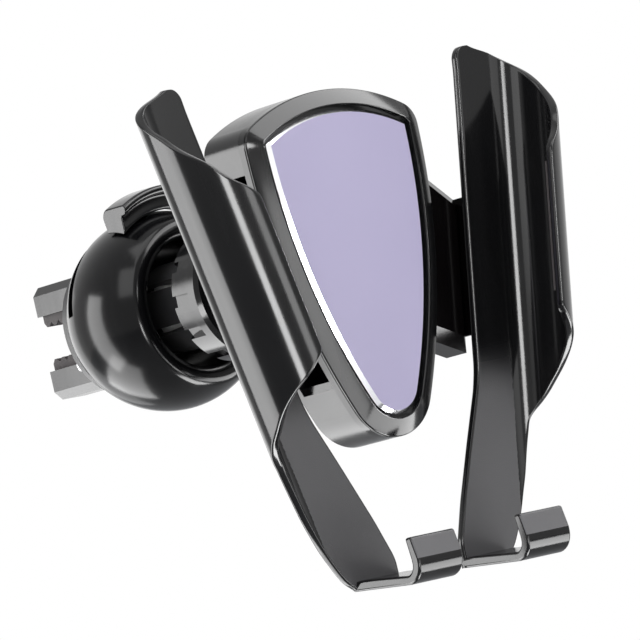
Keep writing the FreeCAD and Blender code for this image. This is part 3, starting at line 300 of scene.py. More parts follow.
@dataclass(frozen=True)
class Finish:
    """One finish of the object's surfaces.

    Args:
        name: The material's name.
        colour: Main colour, linear red, green and blue.
        worn: Colour that the wipe marks lead towards.
        metallic: How far the finish reflects as a metal.
        smooth: Lowest roughness of the cloudy variation.
        rough: Highest roughness of the cloudy variation.
        ior: Index of refraction of the surface.
        grain_scale: Frequency of the moulded grain, per metre.
        grain_depth: Height of the grain, in millimetres.
        marks: Strength of the wipe marks.
        fade: Upper and lower height, in millimetres, between which the finish turns matte.
        matte: Colour below the fade.
    """

    name: str
    colour: tuple[float, float, float]
    worn: tuple[float, float, float]
    metallic: float = 0.0
    smooth: float = 0.1
    rough: float = 0.2
    ior: float = 1.5
    grain_scale: float = 2500.0
    grain_depth: float = 0.0
    marks: float = 0.3
    fade: tuple[float, float] | None = None
    matte: tuple[float, float, float] = (0.042, 0.041, 0.0435)

    def build(self, effects: Effects) -> Material:
        """Make the Blender material.

        Args:
            effects: The shared node groups.

        Returns:
            The material.
        """
        material = bpy.data.materials.new(self.name)
        material.use_nodes = True
        tree = material.node_tree
        shader = tree.nodes["Principled BSDF"]
        shader.inputs["Metallic"].default_value = self.metallic
        shader.inputs["IOR"].default_value = self.ior
        place = add_node(tree, "TexCoord")
        marks = self._effect(tree, effects.wipe, place, {"Scale": MARK_SCALE, "Amount": self.marks})
        spread = {"Scale": CLOUD_SCALE, "Low": self.smooth, "High": self.rough}
        cloud = self._effect(tree, effects.mottle, place, spread)
        colours = {"A": (*self.colour, 1.0), "B": (*self.worn, 1.0)}
        tint = add_node(tree, "Mix", colours, data_type="RGBA")
        dulled = add_node(tree, "Math", {1: MARK_DULLING}, operation="MULTIPLY_ADD")
        wire(tree, (marks, 0, tint, "Factor"), (marks, 0, dulled, 0), (cloud, 0, dulled, 2))
        share = None
        if self.fade is not None:
            tint, dulled, share = self._turn_matte(tree, place, tint, dulled)
        wire(tree, (tint, "Result", shader, "Base Color"), (dulled, 0, shader, "Roughness"))
        if self.grain_depth > 0.0:
            fineness = {"Scale": self.grain_scale, "Cells": GRAIN_CELLS}
            grain = self._effect(tree, effects.grain, place, fineness)
            bump = add_node(tree, "Bump", {"Strength": 1.0, "Distance": self.grain_depth * MM})
            wire(tree, (grain, 0, bump, "Height"), (bump, "Normal", shader, "Normal"))
            if share is not None:
                wire(tree, (share, 0, bump, "Strength"))
        return material

    def _turn_matte(self, tree: NodeTree, place: Node, tint: Node, dulled: Node) -> tuple[Node, Node, Node]:
        """Lead the finish into a matte one down the piece, eased between the fade's two heights.

        Args:
            tree: The material's node tree.
            place: The node that gives the object's coordinates.
            tint: The node of the colour above the fade.
            dulled: The node of the roughness above the fade.

        Returns:
            The nodes of the colour, of the roughness, and of how far each point is matte.
        """
        upper, lower = self.fade
        apart = add_node(tree, "SeparateXYZ")
        heights = {"From Min": upper * MM, "From Max": lower * MM}
        share = add_node(tree, "MapRange", heights, interpolation_type="SMOOTHSTEP")
        below = add_node(tree, "Mix", {"B": (*self.matte, 1.0)}, data_type="RGBA")
        duller = add_node(tree, "Math", {1: MATTE_DULLING}, operation="MULTIPLY_ADD")
        wire(tree, (place, "Object", apart, "Vector"), (apart, "Z", share, "Value"))
        wire(tree, (share, 0, below, "Factor"), (tint, "Result", below, "A"))
        wire(tree, (share, 0, duller, 0), (dulled, 0, duller, 2))
        return below, duller, share

    @staticmethod
    def _effect(tree: NodeTree, group: NodeTree, place: Node, values: dict[str, float]) -> Node:
        """Place a node group with its own values on the object's coordinates."""
        node = add_node(tree, "Group", values, node_tree=group)
        wire(tree, (place, "Object", node, "Vector"))
        return node


class Look(Enum):
    """The finishes of the holder."""

    GUNMETAL = Finish(
        "gunmetal_gloss", (0.006, 0.006, 0.0065), (0.012, 0.012, 0.0125),
        smooth=0.115, rough=0.15, ior=1.32, marks=0.25,
    )
    LEG_FADE = replace(
        GUNMETAL, name="gunmetal_leg", grain_scale=3600.0, grain_depth=0.03, fade=(-21.0, -34.0)
    )
    SHELL = Finish(
        "shell_gloss", (0.008, 0.008, 0.0085), (0.015, 0.015, 0.0155),
        smooth=0.18, rough=0.23, ior=1.36, marks=0.2,
    )
    BLACK_GLOSS = Finish(
        "black_gloss", (0.003, 0.003, 0.0035), (0.008, 0.008, 0.0085), smooth=0.14, rough=0.18, ior=1.27,
    )
    BLOCK = Finish(
        "black_satin", (0.002, 0.0015, 0.0017), (0.005, 0.004, 0.0045),
        smooth=0.13, rough=0.18, ior=1.26, marks=0.2,
    )
    BLACK_MATTE = Finish(
        "black_matte", (0.014, 0.014, 0.015), (0.02, 0.02, 0.021), smooth=0.42, rough=0.55,
        grain_scale=2600.0, grain_depth=0.02,
    )
    LEG_MATTE = Finish(
        "leg_matte", (0.045, 0.044, 0.047), (0.06, 0.059, 0.062), metallic=0.3, smooth=0.5, rough=0.62,
        grain_scale=3600.0, grain_depth=0.03, marks=0.2,
    )
    LAVENDER = Finish(
        "lavender_face", (0.455, 0.415, 0.61), (0.47, 0.43, 0.625), smooth=0.3, rough=0.36,
        grain_scale=5200.0, grain_depth=0.002, marks=0.1,
    )
    BRIGHT = Finish("bright_edge", (0.9, 0.9, 0.92), (0.8, 0.8, 0.82), metallic=1.0, smooth=0.12, rough=0.18)
    RUBBER = Finish(
        "soft_rubber", (0.022, 0.016, 0.017), (0.04, 0.034, 0.035), smooth=0.68, rough=0.8,
        grain_scale=1900.0, grain_depth=0.04, marks=0.5,
    )
    STEEL = Finish(
        "bare_steel", (0.24, 0.24, 0.245), (0.3, 0.3, 0.305), metallic=1.0, smooth=0.24, rough=0.36,
        grain_scale=4200.0, grain_depth=0.006, marks=0.6,
    )
    LINER = Finish("slick_liner", (0.62, 0.62, 0.6), (0.56, 0.55, 0.52), smooth=0.34, rough=0.42)


class Wardrobe:
    """Builds each finish once and hands it out."""

    def __init__(self) -> None:
        """Build the shared effects."""
        self.effects = Effects()
        self.made: dict[Look, Material] = {}

    def get(self, *looks: Look) -> list[Material]:
        """The material of each finish."""
        for look in looks:
            if look not in self.made:
                self.made[look] = look.value.build(self.effects)
        return [self.made[look] for look in looks]

    def dress_node(self, node: str, look: Look) -> None:
        """Give a carried-over node its finish."""
        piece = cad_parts[node]
        (material,) = self.get(look)
        if not piece.material_slots:
            piece.data.materials.append(material)
        for slot in piece.material_slots:
            slot.material = material
        LOG.info("%s: %s", node, look.value.name)


# The arms

# Outlines of the right arm in millimetres: a height, and the place of the edge at that height.
# The inner edge's X runs up the leg, the knee and the tongue.
INNER_EDGE = np.array([
    [-65.9, 8.9], [-61.0, 9.0], [-53.0, 12.2], [-42.0, 17.3], [-31.0, 22.6],
    [-27.0, 24.0], [-23.5, 24.75], [34.2, 36.9], [36.0, 37.1],
])
# X of the leg's outer edge.
LEG_EDGE = np.array([
    [-65.9, 19.6], [-65.4, 21.2], [-64.4, 22.6], [-62.4, 24.2], [-56.7, 27.6],
    [-50.1, 30.8], [-44.6, 32.9], [-40.6, 34.6], [-38.6, 35.4],
])
# How far the trough's edge lies behind the front of the lip.
TROUGH_EDGE = np.array([
    [-38.6, 19.35], [-22.6, 1.6], [-20.4, 0.5], [-18.2, -0.4], [-15.0, -3.0],
    [9.0, -3.0], [12.8, -0.4], [15.4, 0.5], [17.8, 2.2],
])
# Length along the skin of the outer edge, on the slope from the lip to the tongue's top.
SHOULDER_EDGE = np.array([
    [17.8, 63.0], [21.2, 60.2], [25.8, 54.2], [29.2, 50.6], [31.5, 47.3], [33.2, 44.8],
    [34.5, 42.4], [35.9, 39.8], [36.8, 37.4], [37.6, 34.9], [38.1, 33.2], [38.4, 31.8],
])
EDGE_SAMPLES = 640
SKIN_SAMPLES = 400
EDGE_REACH = 8


def read_edge(edge: np.ndarray, heights: np.ndarray) -> np.ndarray:
    """The edge's place at each height, straight between the edge's own points."""
    return np.interp(heights, edge[:, 0], edge[:, 1])


@dataclass
class Arm:
    """A clamping arm: back wall, curved trough, leg and hooked foot, as one moulding.

    Sizes are in millimetres, in the row's frame, for the right arm; the left one is its mirror image.
    """

    side: float = 1.0
    lean: float = math.tan(math.radians(12.0))
    back: float = -91.15
    wall: float = 1.75
    outer: float = 45.57
    depth: float = 21.1
    rear_radius: float = 7.0
    front_radius: float = 12.0
    lip_angle: float = 75.0
    tongue_top: float = 38.4
    crown_start: float = 35.9
    crown_round: float = 1.8
    leg_bottom: float = 65.9
    matte_start: float = -20.0
    edge_radius: float = 0.55
    rows: int = 230
    crown_rows: int = 25
    cols: int = 76
    turn_cols: int = 5
    shelf_height: float = 64.0
    foot_inner: float = 8.9
    foot_outer: float = 20.8
    foot_length: float = 19.5
    foot_drop: float = 1.2
    foot_thickness: float = 1.9
    foot_ramp: float = 2.5
    bend_radius: float = 2.2
    toe_thickness: float = 2.3
    toe_waist: float = 4.8
    toe_height: float = 9.2
    toe_front_slope: float = 0.9
    toe_rear_slope: float = 0.5
    foot_edge_radius: float = 0.5

    @property
    def label(self) -> str:
        """The side's name."""
        return "right" if self.side > 0 else "left"

    @property
    def flat_length(self) -> float:
        """Length of the flat back wall, from the middle plane to where the trough curves."""
        return self.outer - self.rear_radius

    @property
    def lip_start(self) -> float:
        """Length from the middle plane along the outer skin to where the lip's arc starts."""
        side = self.depth - self.rear_radius - self.front_radius * math.sin(math.radians(self.lip_angle))
        return self.flat_length + self.rear_radius * math.pi / 2 + side

    def section(self, length: np.ndarray, under: np.ndarray) -> tuple[np.ndarray, np.ndarray]:
        """Points of the trough's section.

        The outer skin runs along a straight back wall, a quarter round, a straight side and the lip's arc.

        Args:
            length: Lengths along the skin.
            under: Depths under the skin, along its normal, of the same shape.

        Returns:
            X, before the lean, and Y of each point.
        """
        flat, lip = self.flat_length, self.lip_start
        bent = flat + self.rear_radius * math.pi / 2
        rear_turn = np.clip((length - flat) / self.rear_radius, 0.0, math.pi / 2)
        lip_turn = np.clip((length - lip) / self.front_radius, 0.0, math.radians(self.lip_angle))
        run = np.clip(length - bent, 0.0, lip - bent)
        normal_x = np.where(length < lip, np.sin(rear_turn), np.cos(lip_turn))
        normal_y = np.where(length < lip, np.cos(rear_turn), -np.sin(lip_turn))
        x = np.minimum(length, flat) + self.rear_radius * np.sin(rear_turn)
        x = x - self.front_radius * (1.0 - np.cos(lip_turn))
        y = self.back - self.rear_radius * (1.0 - np.cos(rear_turn)) - run
        y = y - self.front_radius * np.sin(lip_turn)
        return x - under * normal_x, y - under * normal_y

    def edges(self, z: np.ndarray) -> tuple[np.ndarray, np.ndarray]:
        """Where the moulding starts and ends along the section, at each height.

        The inner edge follows the leg, the knee and the tongue. The outer edge follows the leg, the slope
        up to the lip, the lip, and the slope back to the tongue's rounded top.

        Args:
            z: Heights.

        Returns:
            The first and last length along the skin at each height.
        """
        even = np.linspace(-self.leg_bottom, self.tongue_top, EDGE_SAMPLES)
        first = read_edge(INNER_EDGE, even) - self.lean * np.minimum(even, self.crown_start)
        lip_end = self.lip_start + self.front_radius * math.radians(self.lip_angle)
        skin = np.linspace(self.flat_length, lip_end, SKIN_SAMPLES)
        _, skin_y = self.section(skin, np.zeros_like(skin))
        trough = self.back - self.depth + read_edge(TROUGH_EDGE, even)
        last = np.interp(-trough, -skin_y, skin)
        last = np.where(even < LEG_EDGE[-1, 0], read_edge(LEG_EDGE, even) - self.lean * even, last)
        last = np.where(even > SHOULDER_EDGE[0, 0], read_edge(SHOULDER_EDGE, even), last)
        first, last = smoothed(first, EDGE_REACH), smoothed(last, EDGE_REACH)
        climb = np.clip((z - self.crown_start) / (self.tongue_top - self.crown_start), 0.0, 1.0)
        rounding = self.crown_round * (1.0 - np.sqrt(1.0 - climb**2))
        return np.interp(z, even, first) + rounding, np.interp(z, even, last)

    def heights(self) -> np.ndarray:
        """Heights of the rows: even up to the tongue's crown, then closer and closer towards its top."""
        even = np.linspace(-self.leg_bottom, self.crown_start, self.rows)
        climb = np.sin(np.radians(np.linspace(0.0, 90.0, self.crown_rows)))
        crown = self.crown_start + (self.tongue_top - self.crown_start) * climb
        return np.concatenate([even, crown[1:]])

    def shell_grid(self) -> tuple[np.ndarray, np.ndarray, np.ndarray]:
        """The moulding as a closed tube: outer skin, rounded lip edge, inner skin, rounded inner edge.

        Returns:
            The grid, the heights of its rows, and each column's depth under the skin.
        """
        z = self.heights()
        first, last = self.edges(z)
        radius, wall = self.edge_radius, self.wall
        turn = np.radians(np.linspace(0.0, 90.0, self.turn_cols))
        even, round_cols = np.linspace(0.0, 1.0, self.cols), 2 * self.turn_cols
        along = np.concatenate([even, np.ones(round_cols), even[::-1], np.zeros(round_cols)])
        ease = radius - radius * np.sin(turn)
        pull = np.tile(np.concatenate([np.full(self.cols, radius), ease, ease[::-1]]), 2)
        low, high = radius - radius * np.cos(turn), wall - radius + radius * np.cos(turn[::-1])
        edge = np.concatenate([low, high])
        depth = np.concatenate([np.zeros(self.cols), edge, np.full(self.cols, wall), edge[::-1]])
        start, end = first[:, None] + pull[None, :], last[:, None] - pull[None, :]
        length = start + (end - start) * along[None, :]
        x, y = self.section(length, np.broadcast_to(depth, length.shape))
        height = np.broadcast_to(z[:, None], x.shape)
        grid = np.stack([(x + self.lean * height) * self.side, y, height], axis=-1)
        return grid, z, depth

    def build_shell(self, wardrobe: Wardrobe) -> Object:
        """The back wall, trough and leg, with a matte leg front."""
        grid, z, depth = self.shell_grid()
        middle = (z[:-1] + z[1:])[:, None] / 2
        on_front = np.isclose(depth, self.wall) & np.isclose(np.roll(depth, -1), self.wall)
        flat = np.abs(grid[:-1, :, 1] - (self.back - self.wall)) < 2 * SLACK
        matte = on_front[None, :] & (middle < self.matte_start) & flat
        builder = MeshBuilder()
        builder.add_bar(grid, matte.astype(int))
        return builder.build(f"{self.label}_arm_shell", wardrobe.get(Look.GUNMETAL, Look.LEG_FADE))

    def foot_profile(self) -> np.ndarray:
        """The foot's section in Y and Z: shelf, rounded toe, lip and inner round, as a closed outline."""
        front, floor = self.back - self.wall, -self.shelf_height
        thick, bend = self.foot_thickness, self.bend_radius
        toe, low = front - self.foot_length, floor - self.foot_drop
        lip, under, outer = toe + self.toe_thickness, low - thick, bend + thick
        waist, top = under + self.toe_waist, under + self.toe_height
        toe_arc = arc_points((toe + outer, under + outer), outer, 270.0, 180.0, 12)
        inner_arc = arc_points((lip + bend, low + bend), bend, 180.0, 270.0, 10)
        start = [[self.back, floor], [self.back, floor - thick]]
        crest = [[toe + self.toe_front_slope, top], [lip + self.toe_rear_slope, top]]
        end = [[front - self.foot_ramp, floor]]
        return np.concatenate([start, toe_arc, [[toe, waist]], crest, [[lip, waist]], inner_arc, end])

    def build_foot(self, wardrobe: Wardrobe) -> Object:
        """The hooked foot: its section carried across the leg's width, with a matte upper toe."""
        outline = self.foot_profile()
        across = np.array([self.foot_inner, self.foot_outer]) * self.side
        grid = np.stack([np.column_stack([np.full(len(outline), x), outline]) for x in across])
        climb = np.roll(outline, -1, axis=0)[:, 1] - outline[:, 1]
        matte = climb > self.toe_height / 3
        builder = MeshBuilder()
        builder.add_bar(grid, matte.astype(int))
        materials = wardrobe.get(Look.GUNMETAL, Look.LEG_MATTE)
        piece = builder.build(f"{self.label}_arm_foot", materials, sharp=30.0)
        soften(piece, self.foot_edge_radius)
        return piece

    def dress(self, wardrobe: Wardrobe) -> None:
        """Build the arm and let it ride."""
        body = f"{self.label}_arm"
        for piece in (self.build_shell(wardrobe), self.build_foot(wardrobe)):
            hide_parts(body)
            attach(piece, body)
        wardrobe.dress_node(f"{self.label}_lip_pad", Look.RUBBER)
        wardrobe.dress_node(f"{self.label}_hub", Look.BLOCK)
        for kind in ("arm_screws", "pivot_pin", "return_spring"):
            wardrobe.dress_node(f"{self.label}_{kind}", Look.STEEL)


# The body

# The frame's fine joint line: how far in from the side, and how far behind the edge of the slope.
JOINT_LINE = ((0.0, 0.62), (0.22, 0.5), (0.22, 0.38), (0.0, 0.26))


@dataclass
class ShieldBody:
    """The shield-shaped body: face panel with a bright bevel, and the frame round it, in millimetres."""

    half_width: float = 18.9
    corner_height: float = 24.7
    side_radius: float = 120.0
    crown_radius: float = 39.6
    tip_radius: float = 6.8
    bevel: float = 0.75
    face: float = -94.0
    thickness: float = 2.2
    panel_gap: float = 0.9
    rim_offset: float = 5.15
    frame_depth: float = 4.0
    slope_drop: float = 1.75
    brow_radius: float = 0.4
    brow_lift: float = 0.12
    lip_radius: float = 0.35
    lip_drop: float = 0.36
    samples: int = 90

    def outline(self, offset: float) -> np.ndarray:
        """The shield's outline in X and Z, grown from the panel's flat top.

        Four arcs about fixed centres: two sides, the tip and the crown. The corners are rounded about the
        flat top's own corners, by the offset.

        Args:
            offset: Distance outwards from the panel's flat top.

        Returns:
            Points of the closed outline, clockwise from the right corner.
        """
        side, crown, tip = (r - self.bevel for r in (self.side_radius, self.crown_radius, self.tip_radius))
        across = self.half_width - self.side_radius
        crown_z = self.corner_height - math.sqrt(self.crown_radius**2 - self.half_width**2)
        apart = math.hypot(across, self.corner_height - crown_z)
        along = (crown**2 - side**2 + apart**2) / (2 * apart)
        rise = math.sqrt(crown**2 - along**2)
        unit_x, unit_z = across / apart, (self.corner_height - crown_z) / apart
        corner = np.array([unit_x * along + unit_z * rise, crown_z + unit_z * along - unit_x * rise])
        fall = math.sqrt((self.side_radius - self.tip_radius) ** 2 - across**2)
        tip_z = self.corner_height - fall
        side_start = math.degrees(math.atan2(corner[1] - self.corner_height, corner[0] - across))
        side_end = math.degrees(math.atan2(tip_z - self.corner_height, -across))
        crown_start = math.degrees(math.atan2(corner[1] - crown_z, corner[0]))
        steps = self.samples
        right = arc_points((across, self.corner_height), side + offset, side_start, side_end, steps)
        bottom = arc_points((0.0, tip_z), tip + offset, side_end, -180.0 - side_end, steps // 2)
        left = right[::-1] * np.array([-1.0, 1.0])
        top_corner = arc_points((corner[0], corner[1]), offset, crown_start, side_start, 12)
        crown_arc = arc_points((0.0, crown_z), crown + offset, 180.0 - crown_start, crown_start, steps)
        far_corner = top_corner[::-1] * np.array([-1.0, 1.0])
        arcs = (right, bottom, left, far_corner, crown_arc, top_corner)
        return np.concatenate([arc[:-1] for arc in arcs])

    def sweep(self, profile: np.ndarray) -> np.ndarray:
        """Carry a profile of (offset, y) points round the outline: rows are profile points."""
        rings = []
        for offset, y in profile:
            ring = self.outline(float(offset))
            rings.append(np.column_stack([ring[:, 0], np.full(len(ring), y), ring[:, 1]]))
        return np.stack(rings)

    def build_panel(self, wardrobe: Wardrobe) -> Object:
        """The face panel: a flat lavender face and a bright bevel round it."""
        face, bevel = self.face, self.bevel
        rings = self.sweep(np.array([[0.0, face], [bevel, face + bevel], [bevel, face + self.thickness]]))
        builder = MeshBuilder()
        builder.add_cap(rings[0])
        builder.add_grid(rings, closed_cols=True, finish=1)
        builder.add_cap(rings[-1], finish=1)
        return builder.build("face_panel_dressed", wardrobe.get(Look.LAVENDER, Look.BRIGHT), sharp=25.0)

    def frame_profile(self) -> np.ndarray:
        """The frame's section as (offset, y): straight side, joint line, sloped face, rounded lip, seat."""
        rim, seat, edge = self.rim_offset, self.bevel + self.panel_gap, self.face + self.slope_drop
        side = [[rim, self.face + self.frame_depth]]
        side += [[rim - inset, edge + rear] for inset, rear in JOINT_LINE]
        brow_centre = (rim - self.brow_radius, edge + self.brow_lift)
        brow = arc_points(brow_centre, self.brow_radius, 0.0, -60.0, 6)
        lip_centre = (seat + self.lip_radius, self.face + self.lip_drop)
        lip = arc_points(lip_centre, self.lip_radius, 240.0, 180.0, 6)
        return np.concatenate([side, brow, lip, [[seat, self.face + self.thickness]]])

    def build_frame(self, wardrobe: Wardrobe) -> Object:
        """The front frame: its section carried round the shield, closed at the seat and at the back."""
        builder = MeshBuilder()
        builder.add_bar(self.sweep(self.frame_profile()))
        return builder.build("front_frame_smooth", wardrobe.get(Look.GUNMETAL), sharp=35.0)

    def dress(self, wardrobe: Wardrobe) -> None:
        """Build the body's pieces and let them ride."""
        rim = self.build_frame(wardrobe)
        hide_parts("front_frame")
        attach(rim, "holder")
        panel = self.build_panel(wardrobe)
        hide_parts("face_panel")
        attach(panel, "holder")
        wardrobe.dress_node("back_cover", Look.SHELL)
        wardrobe.dress_node("body_screws", Look.STEEL)
        wardrobe.dress_node("socket_screws", Look.STEEL)


# The ball joint and the clip

# The lever's nose and bridge as (y, r) about the clip's axis, in millimetres.
LEVER_NOSE = np.array([
    [-36.7, 20.9], [-36.7, 23.2], [-37.0, 23.6], [-38.0, 23.7], [-38.4, 24.1], [-38.4, 24.9], [-37.9, 25.4],
])
LEVER_BRIDGE = np.array([
    [-31.9, 21.4], [-31.9, 22.3], [-21.6, 22.3], [-21.6, 10.3], [-23.2, 10.3], [-23.2, 21.4],
])


@dataclass
class VentClip:
    """The clip's round housing and thumb lever, in millimetres, about the clip's axis."""

    centre: float = -30.0
    radius: float = 20.8
    mouth: float = -42.0
    throat: float = 13.4
    lip: float = 2.2
    rear: float = -16.0
    chamber: float = 13.9
    chamber_front: float = -25.5
    partition: float = -27.5
    bore: float = 2.02
    slot_low: float = -23.8
    slot_high: float = -21.0
    slot_first: float = 78.0
    slot_last: float = 172.0
    crest_behind: float = 1.0
    rim_bulge: float = 0.4
    angle_step: float = 2.5
    pad_front: float = -36.4
    pad_rear: float = -31.3
    pad_radius: float = 21.3
    heel_radius: float = 1.7
    heel_centre: tuple[float, float] = (-32.4, 23.8)
    lever_half: float = 11.9
    bridge_half: float = 2.2
    lever_edge_radius: float = 0.45

    def outside(self) -> np.ndarray:
        """The bulb's outer skin from the back plane to the throat, as (y, r) points."""
        back = math.degrees(math.acos((self.rear - self.centre) / self.radius))
        front = math.degrees(math.acos((self.mouth + self.crest_behind - self.centre) / self.radius))
        angles = np.radians(np.linspace(back, front, 72))
        skin = np.stack([self.centre + self.radius * np.cos(angles), self.radius * np.sin(angles)], axis=-1)
        slot = np.array([self.slot_high, self.slot_low])
        extra = np.stack([slot, np.sqrt(self.radius**2 - (slot - self.centre) ** 2)], axis=-1)
        skin = np.concatenate([skin, extra])
        skin = skin[np.argsort(-skin[:, 0])]
        crest = skin[-1]
        rim = np.array([self.mouth, self.throat + self.lip])
        inner = arc_points((self.mouth + self.lip, self.throat + self.lip), self.lip, 180.0, 270.0, 12)
        bend = self._round_between(crest, rim, self.lip + self.rim_bulge)
        return np.concatenate([skin, bend[1:-1], inner])

    @staticmethod
    def _round_between(start: np.ndarray, end: np.ndarray, radius: float) -> np.ndarray:
        """An arc of a given radius from start to end, bulging away from the housing's middle."""
        chord = end - start
        length = float(np.hypot(*chord))
        rise = math.sqrt(max(radius**2 - (length / 2) ** 2, 0.0))
        side = np.array([-chord[1], chord[0]]) / length
        centre = (start + end) / 2 + side * rise
        first = math.degrees(math.atan2(start[1] - centre[1], start[0] - centre[0]))
        last = math.degrees(math.atan2(end[1] - centre[1], end[0] - centre[0]))
        last += 360.0 if last < first else 0.0
        return arc_points((centre[0], centre[1]), radius, first, last, 10)

    def inside(self) -> np.ndarray:
        """From the throat's floor by the partition and the bore to the chamber, as (y, r) points."""
        return np.array([
            [self.partition, self.throat],
            [self.partition, self.bore],
            [self.chamber_front, self.bore],
            [self.chamber_front, self.chamber],
            [self.slot_low, self.chamber],
            [self.slot_high, self.chamber],
            [self.rear, self.chamber],
        ])

    def build_housing(self, wardrobe: Wardrobe) -> Object:
        """The housing: its profile turned round, with the lever's slot left open."""
        profile = np.concatenate([self.outside(), self.inside()])
        even = np.arange(0.0, 360.0, self.angle_step)
        angles = np.unique(np.concatenate([even, [self.slot_first, self.slot_last]]))
        grid = turned_profile(profile, angles)
        here, after = profile[:, 0], np.roll(profile[:, 0], -1)
        within = np.minimum(here, after) >= self.slot_low - TINY
        within &= np.maximum(here, after) <= self.slot_high + TINY
        within &= profile[:, 1] > self.chamber - SLACK
        open_angles = (angles >= self.slot_first - TINY) & (angles < self.slot_last - TINY)
        drop = open_angles[:, None] & within[None, :]
        builder = MeshBuilder()
        builder.add_grid(grid, closed_rows=True, closed_cols=True, drop=drop)
        self._slot_walls(builder, profile, angles)
        return builder.build("clip_housing_shell", wardrobe.get(Look.BLACK_GLOSS), sharp=38.0)

    def _slot_walls(self, builder: MeshBuilder, profile: np.ndarray, angles: np.ndarray) -> None:
        """The four walls of the lever's slot, from the chamber to the skin, on the housing's own points."""
        around = angles[(angles >= self.slot_first) & (angles <= self.slot_last)]
        for y in (self.slot_low, self.slot_high):
            skin = math.sqrt(self.radius**2 - (y - self.centre) ** 2)
            builder.add_grid(turned_profile(np.array([[y, self.chamber], [y, skin]]), around))
        within = (profile[:, 0] >= self.slot_low - TINY) & (profile[:, 0] <= self.slot_high + TINY)
        edge = profile[within & (profile[:, 1] > self.chamber + SLACK)]
        loop = np.concatenate([edge, [[self.slot_low, self.chamber], [self.slot_high, self.chamber]]])
        for wall in turned_profile(loop, np.array([self.slot_first, self.slot_last])):
            builder.add_cap(wall)

    @staticmethod
    def _curved_bar(builder: MeshBuilder, profile: np.ndarray, half: float, steps: int) -> None:
        """Carry an outline (y, r) straight across from -half to half in X, at the height sqrt(r^2 - x^2)."""
        across = np.linspace(-half, half, steps)
        y, r = profile[:, 0], profile[:, 1]
        z = np.sqrt(r[None, :] ** 2 - across[:, None] ** 2)
        grid = np.stack([np.broadcast_to(across[:, None], z.shape), np.broadcast_to(y, z.shape), z], axis=-1)
        builder.add_bar(grid)

    def build_lever(self, wardrobe: Wardrobe) -> Object:
        """The thumb lever: a pad that follows the bulb, a nose along its front, and a bridge to its stem."""
        under_y = np.linspace(self.pad_rear, self.pad_front, 12)
        under_r = np.sqrt(self.pad_radius**2 - (under_y - self.centre) ** 2)
        heel = arc_points(self.heel_centre, self.heel_radius, 90.0, 0.0, 9)
        pad = np.concatenate([np.stack([under_y, under_r], axis=-1), LEVER_NOSE, heel])
        builder = MeshBuilder()
        self._curved_bar(builder, pad, self.lever_half, 31)
        self._curved_bar(builder, LEVER_BRIDGE, self.bridge_half, 5)
        piece = builder.build("lever_smooth", wardrobe.get(Look.GUNMETAL), sharp=35.0)
        soften(piece, self.lever_edge_radius)
        return piece

    def dress(self, wardrobe: Wardrobe) -> None:
        """Build the lever and the housing, and dress the clip's other pieces."""
        lever = self.build_lever(wardrobe)
        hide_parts("lever")
        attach(lever, "lever")
        housing = self.build_housing(wardrobe)
        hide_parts("clip_housing")
        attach(housing, "clip")
        looks = {
            Look.BLACK_MATTE: ("clip_back_plate", "cam_disc", "ball_socket"),
            Look.STEEL: ("ball_stud", "stud_nut", "clip_screws"),
            Look.GUNMETAL: ("upper_jaw", "lower_jaw", "lock_nut"),
            Look.RUBBER: ("upper_jaw_pad", "lower_jaw_pad"),
            Look.LINER: ("liner_cup", "liner_ring"),
        }
        for look, nodes in looks.items():
            for node in nodes:
                wardrobe.dress_node(node, look)


# The studio


@dataclass(frozen=True)
class Softbox:
    """A rectangular studio light, placed by its bearing from the camera's line of sight.

    Args:
        name: The light's name.
        bearing: Degrees to the right of the camera, seen from the object.
        height: Degrees above the horizon.
        distance: Metres from the object.
        width: Metres across.
        tall: Metres high.
        radiance: Brightness of its face, where 1 is white.
        reflected_only: The light shows in gloss and leaves the plain level of the light alone.
    """

    name: str
    bearing: float
    height: float
    distance: float
    width: float
    tall: float
    radiance: float
    reflected_only: bool = False


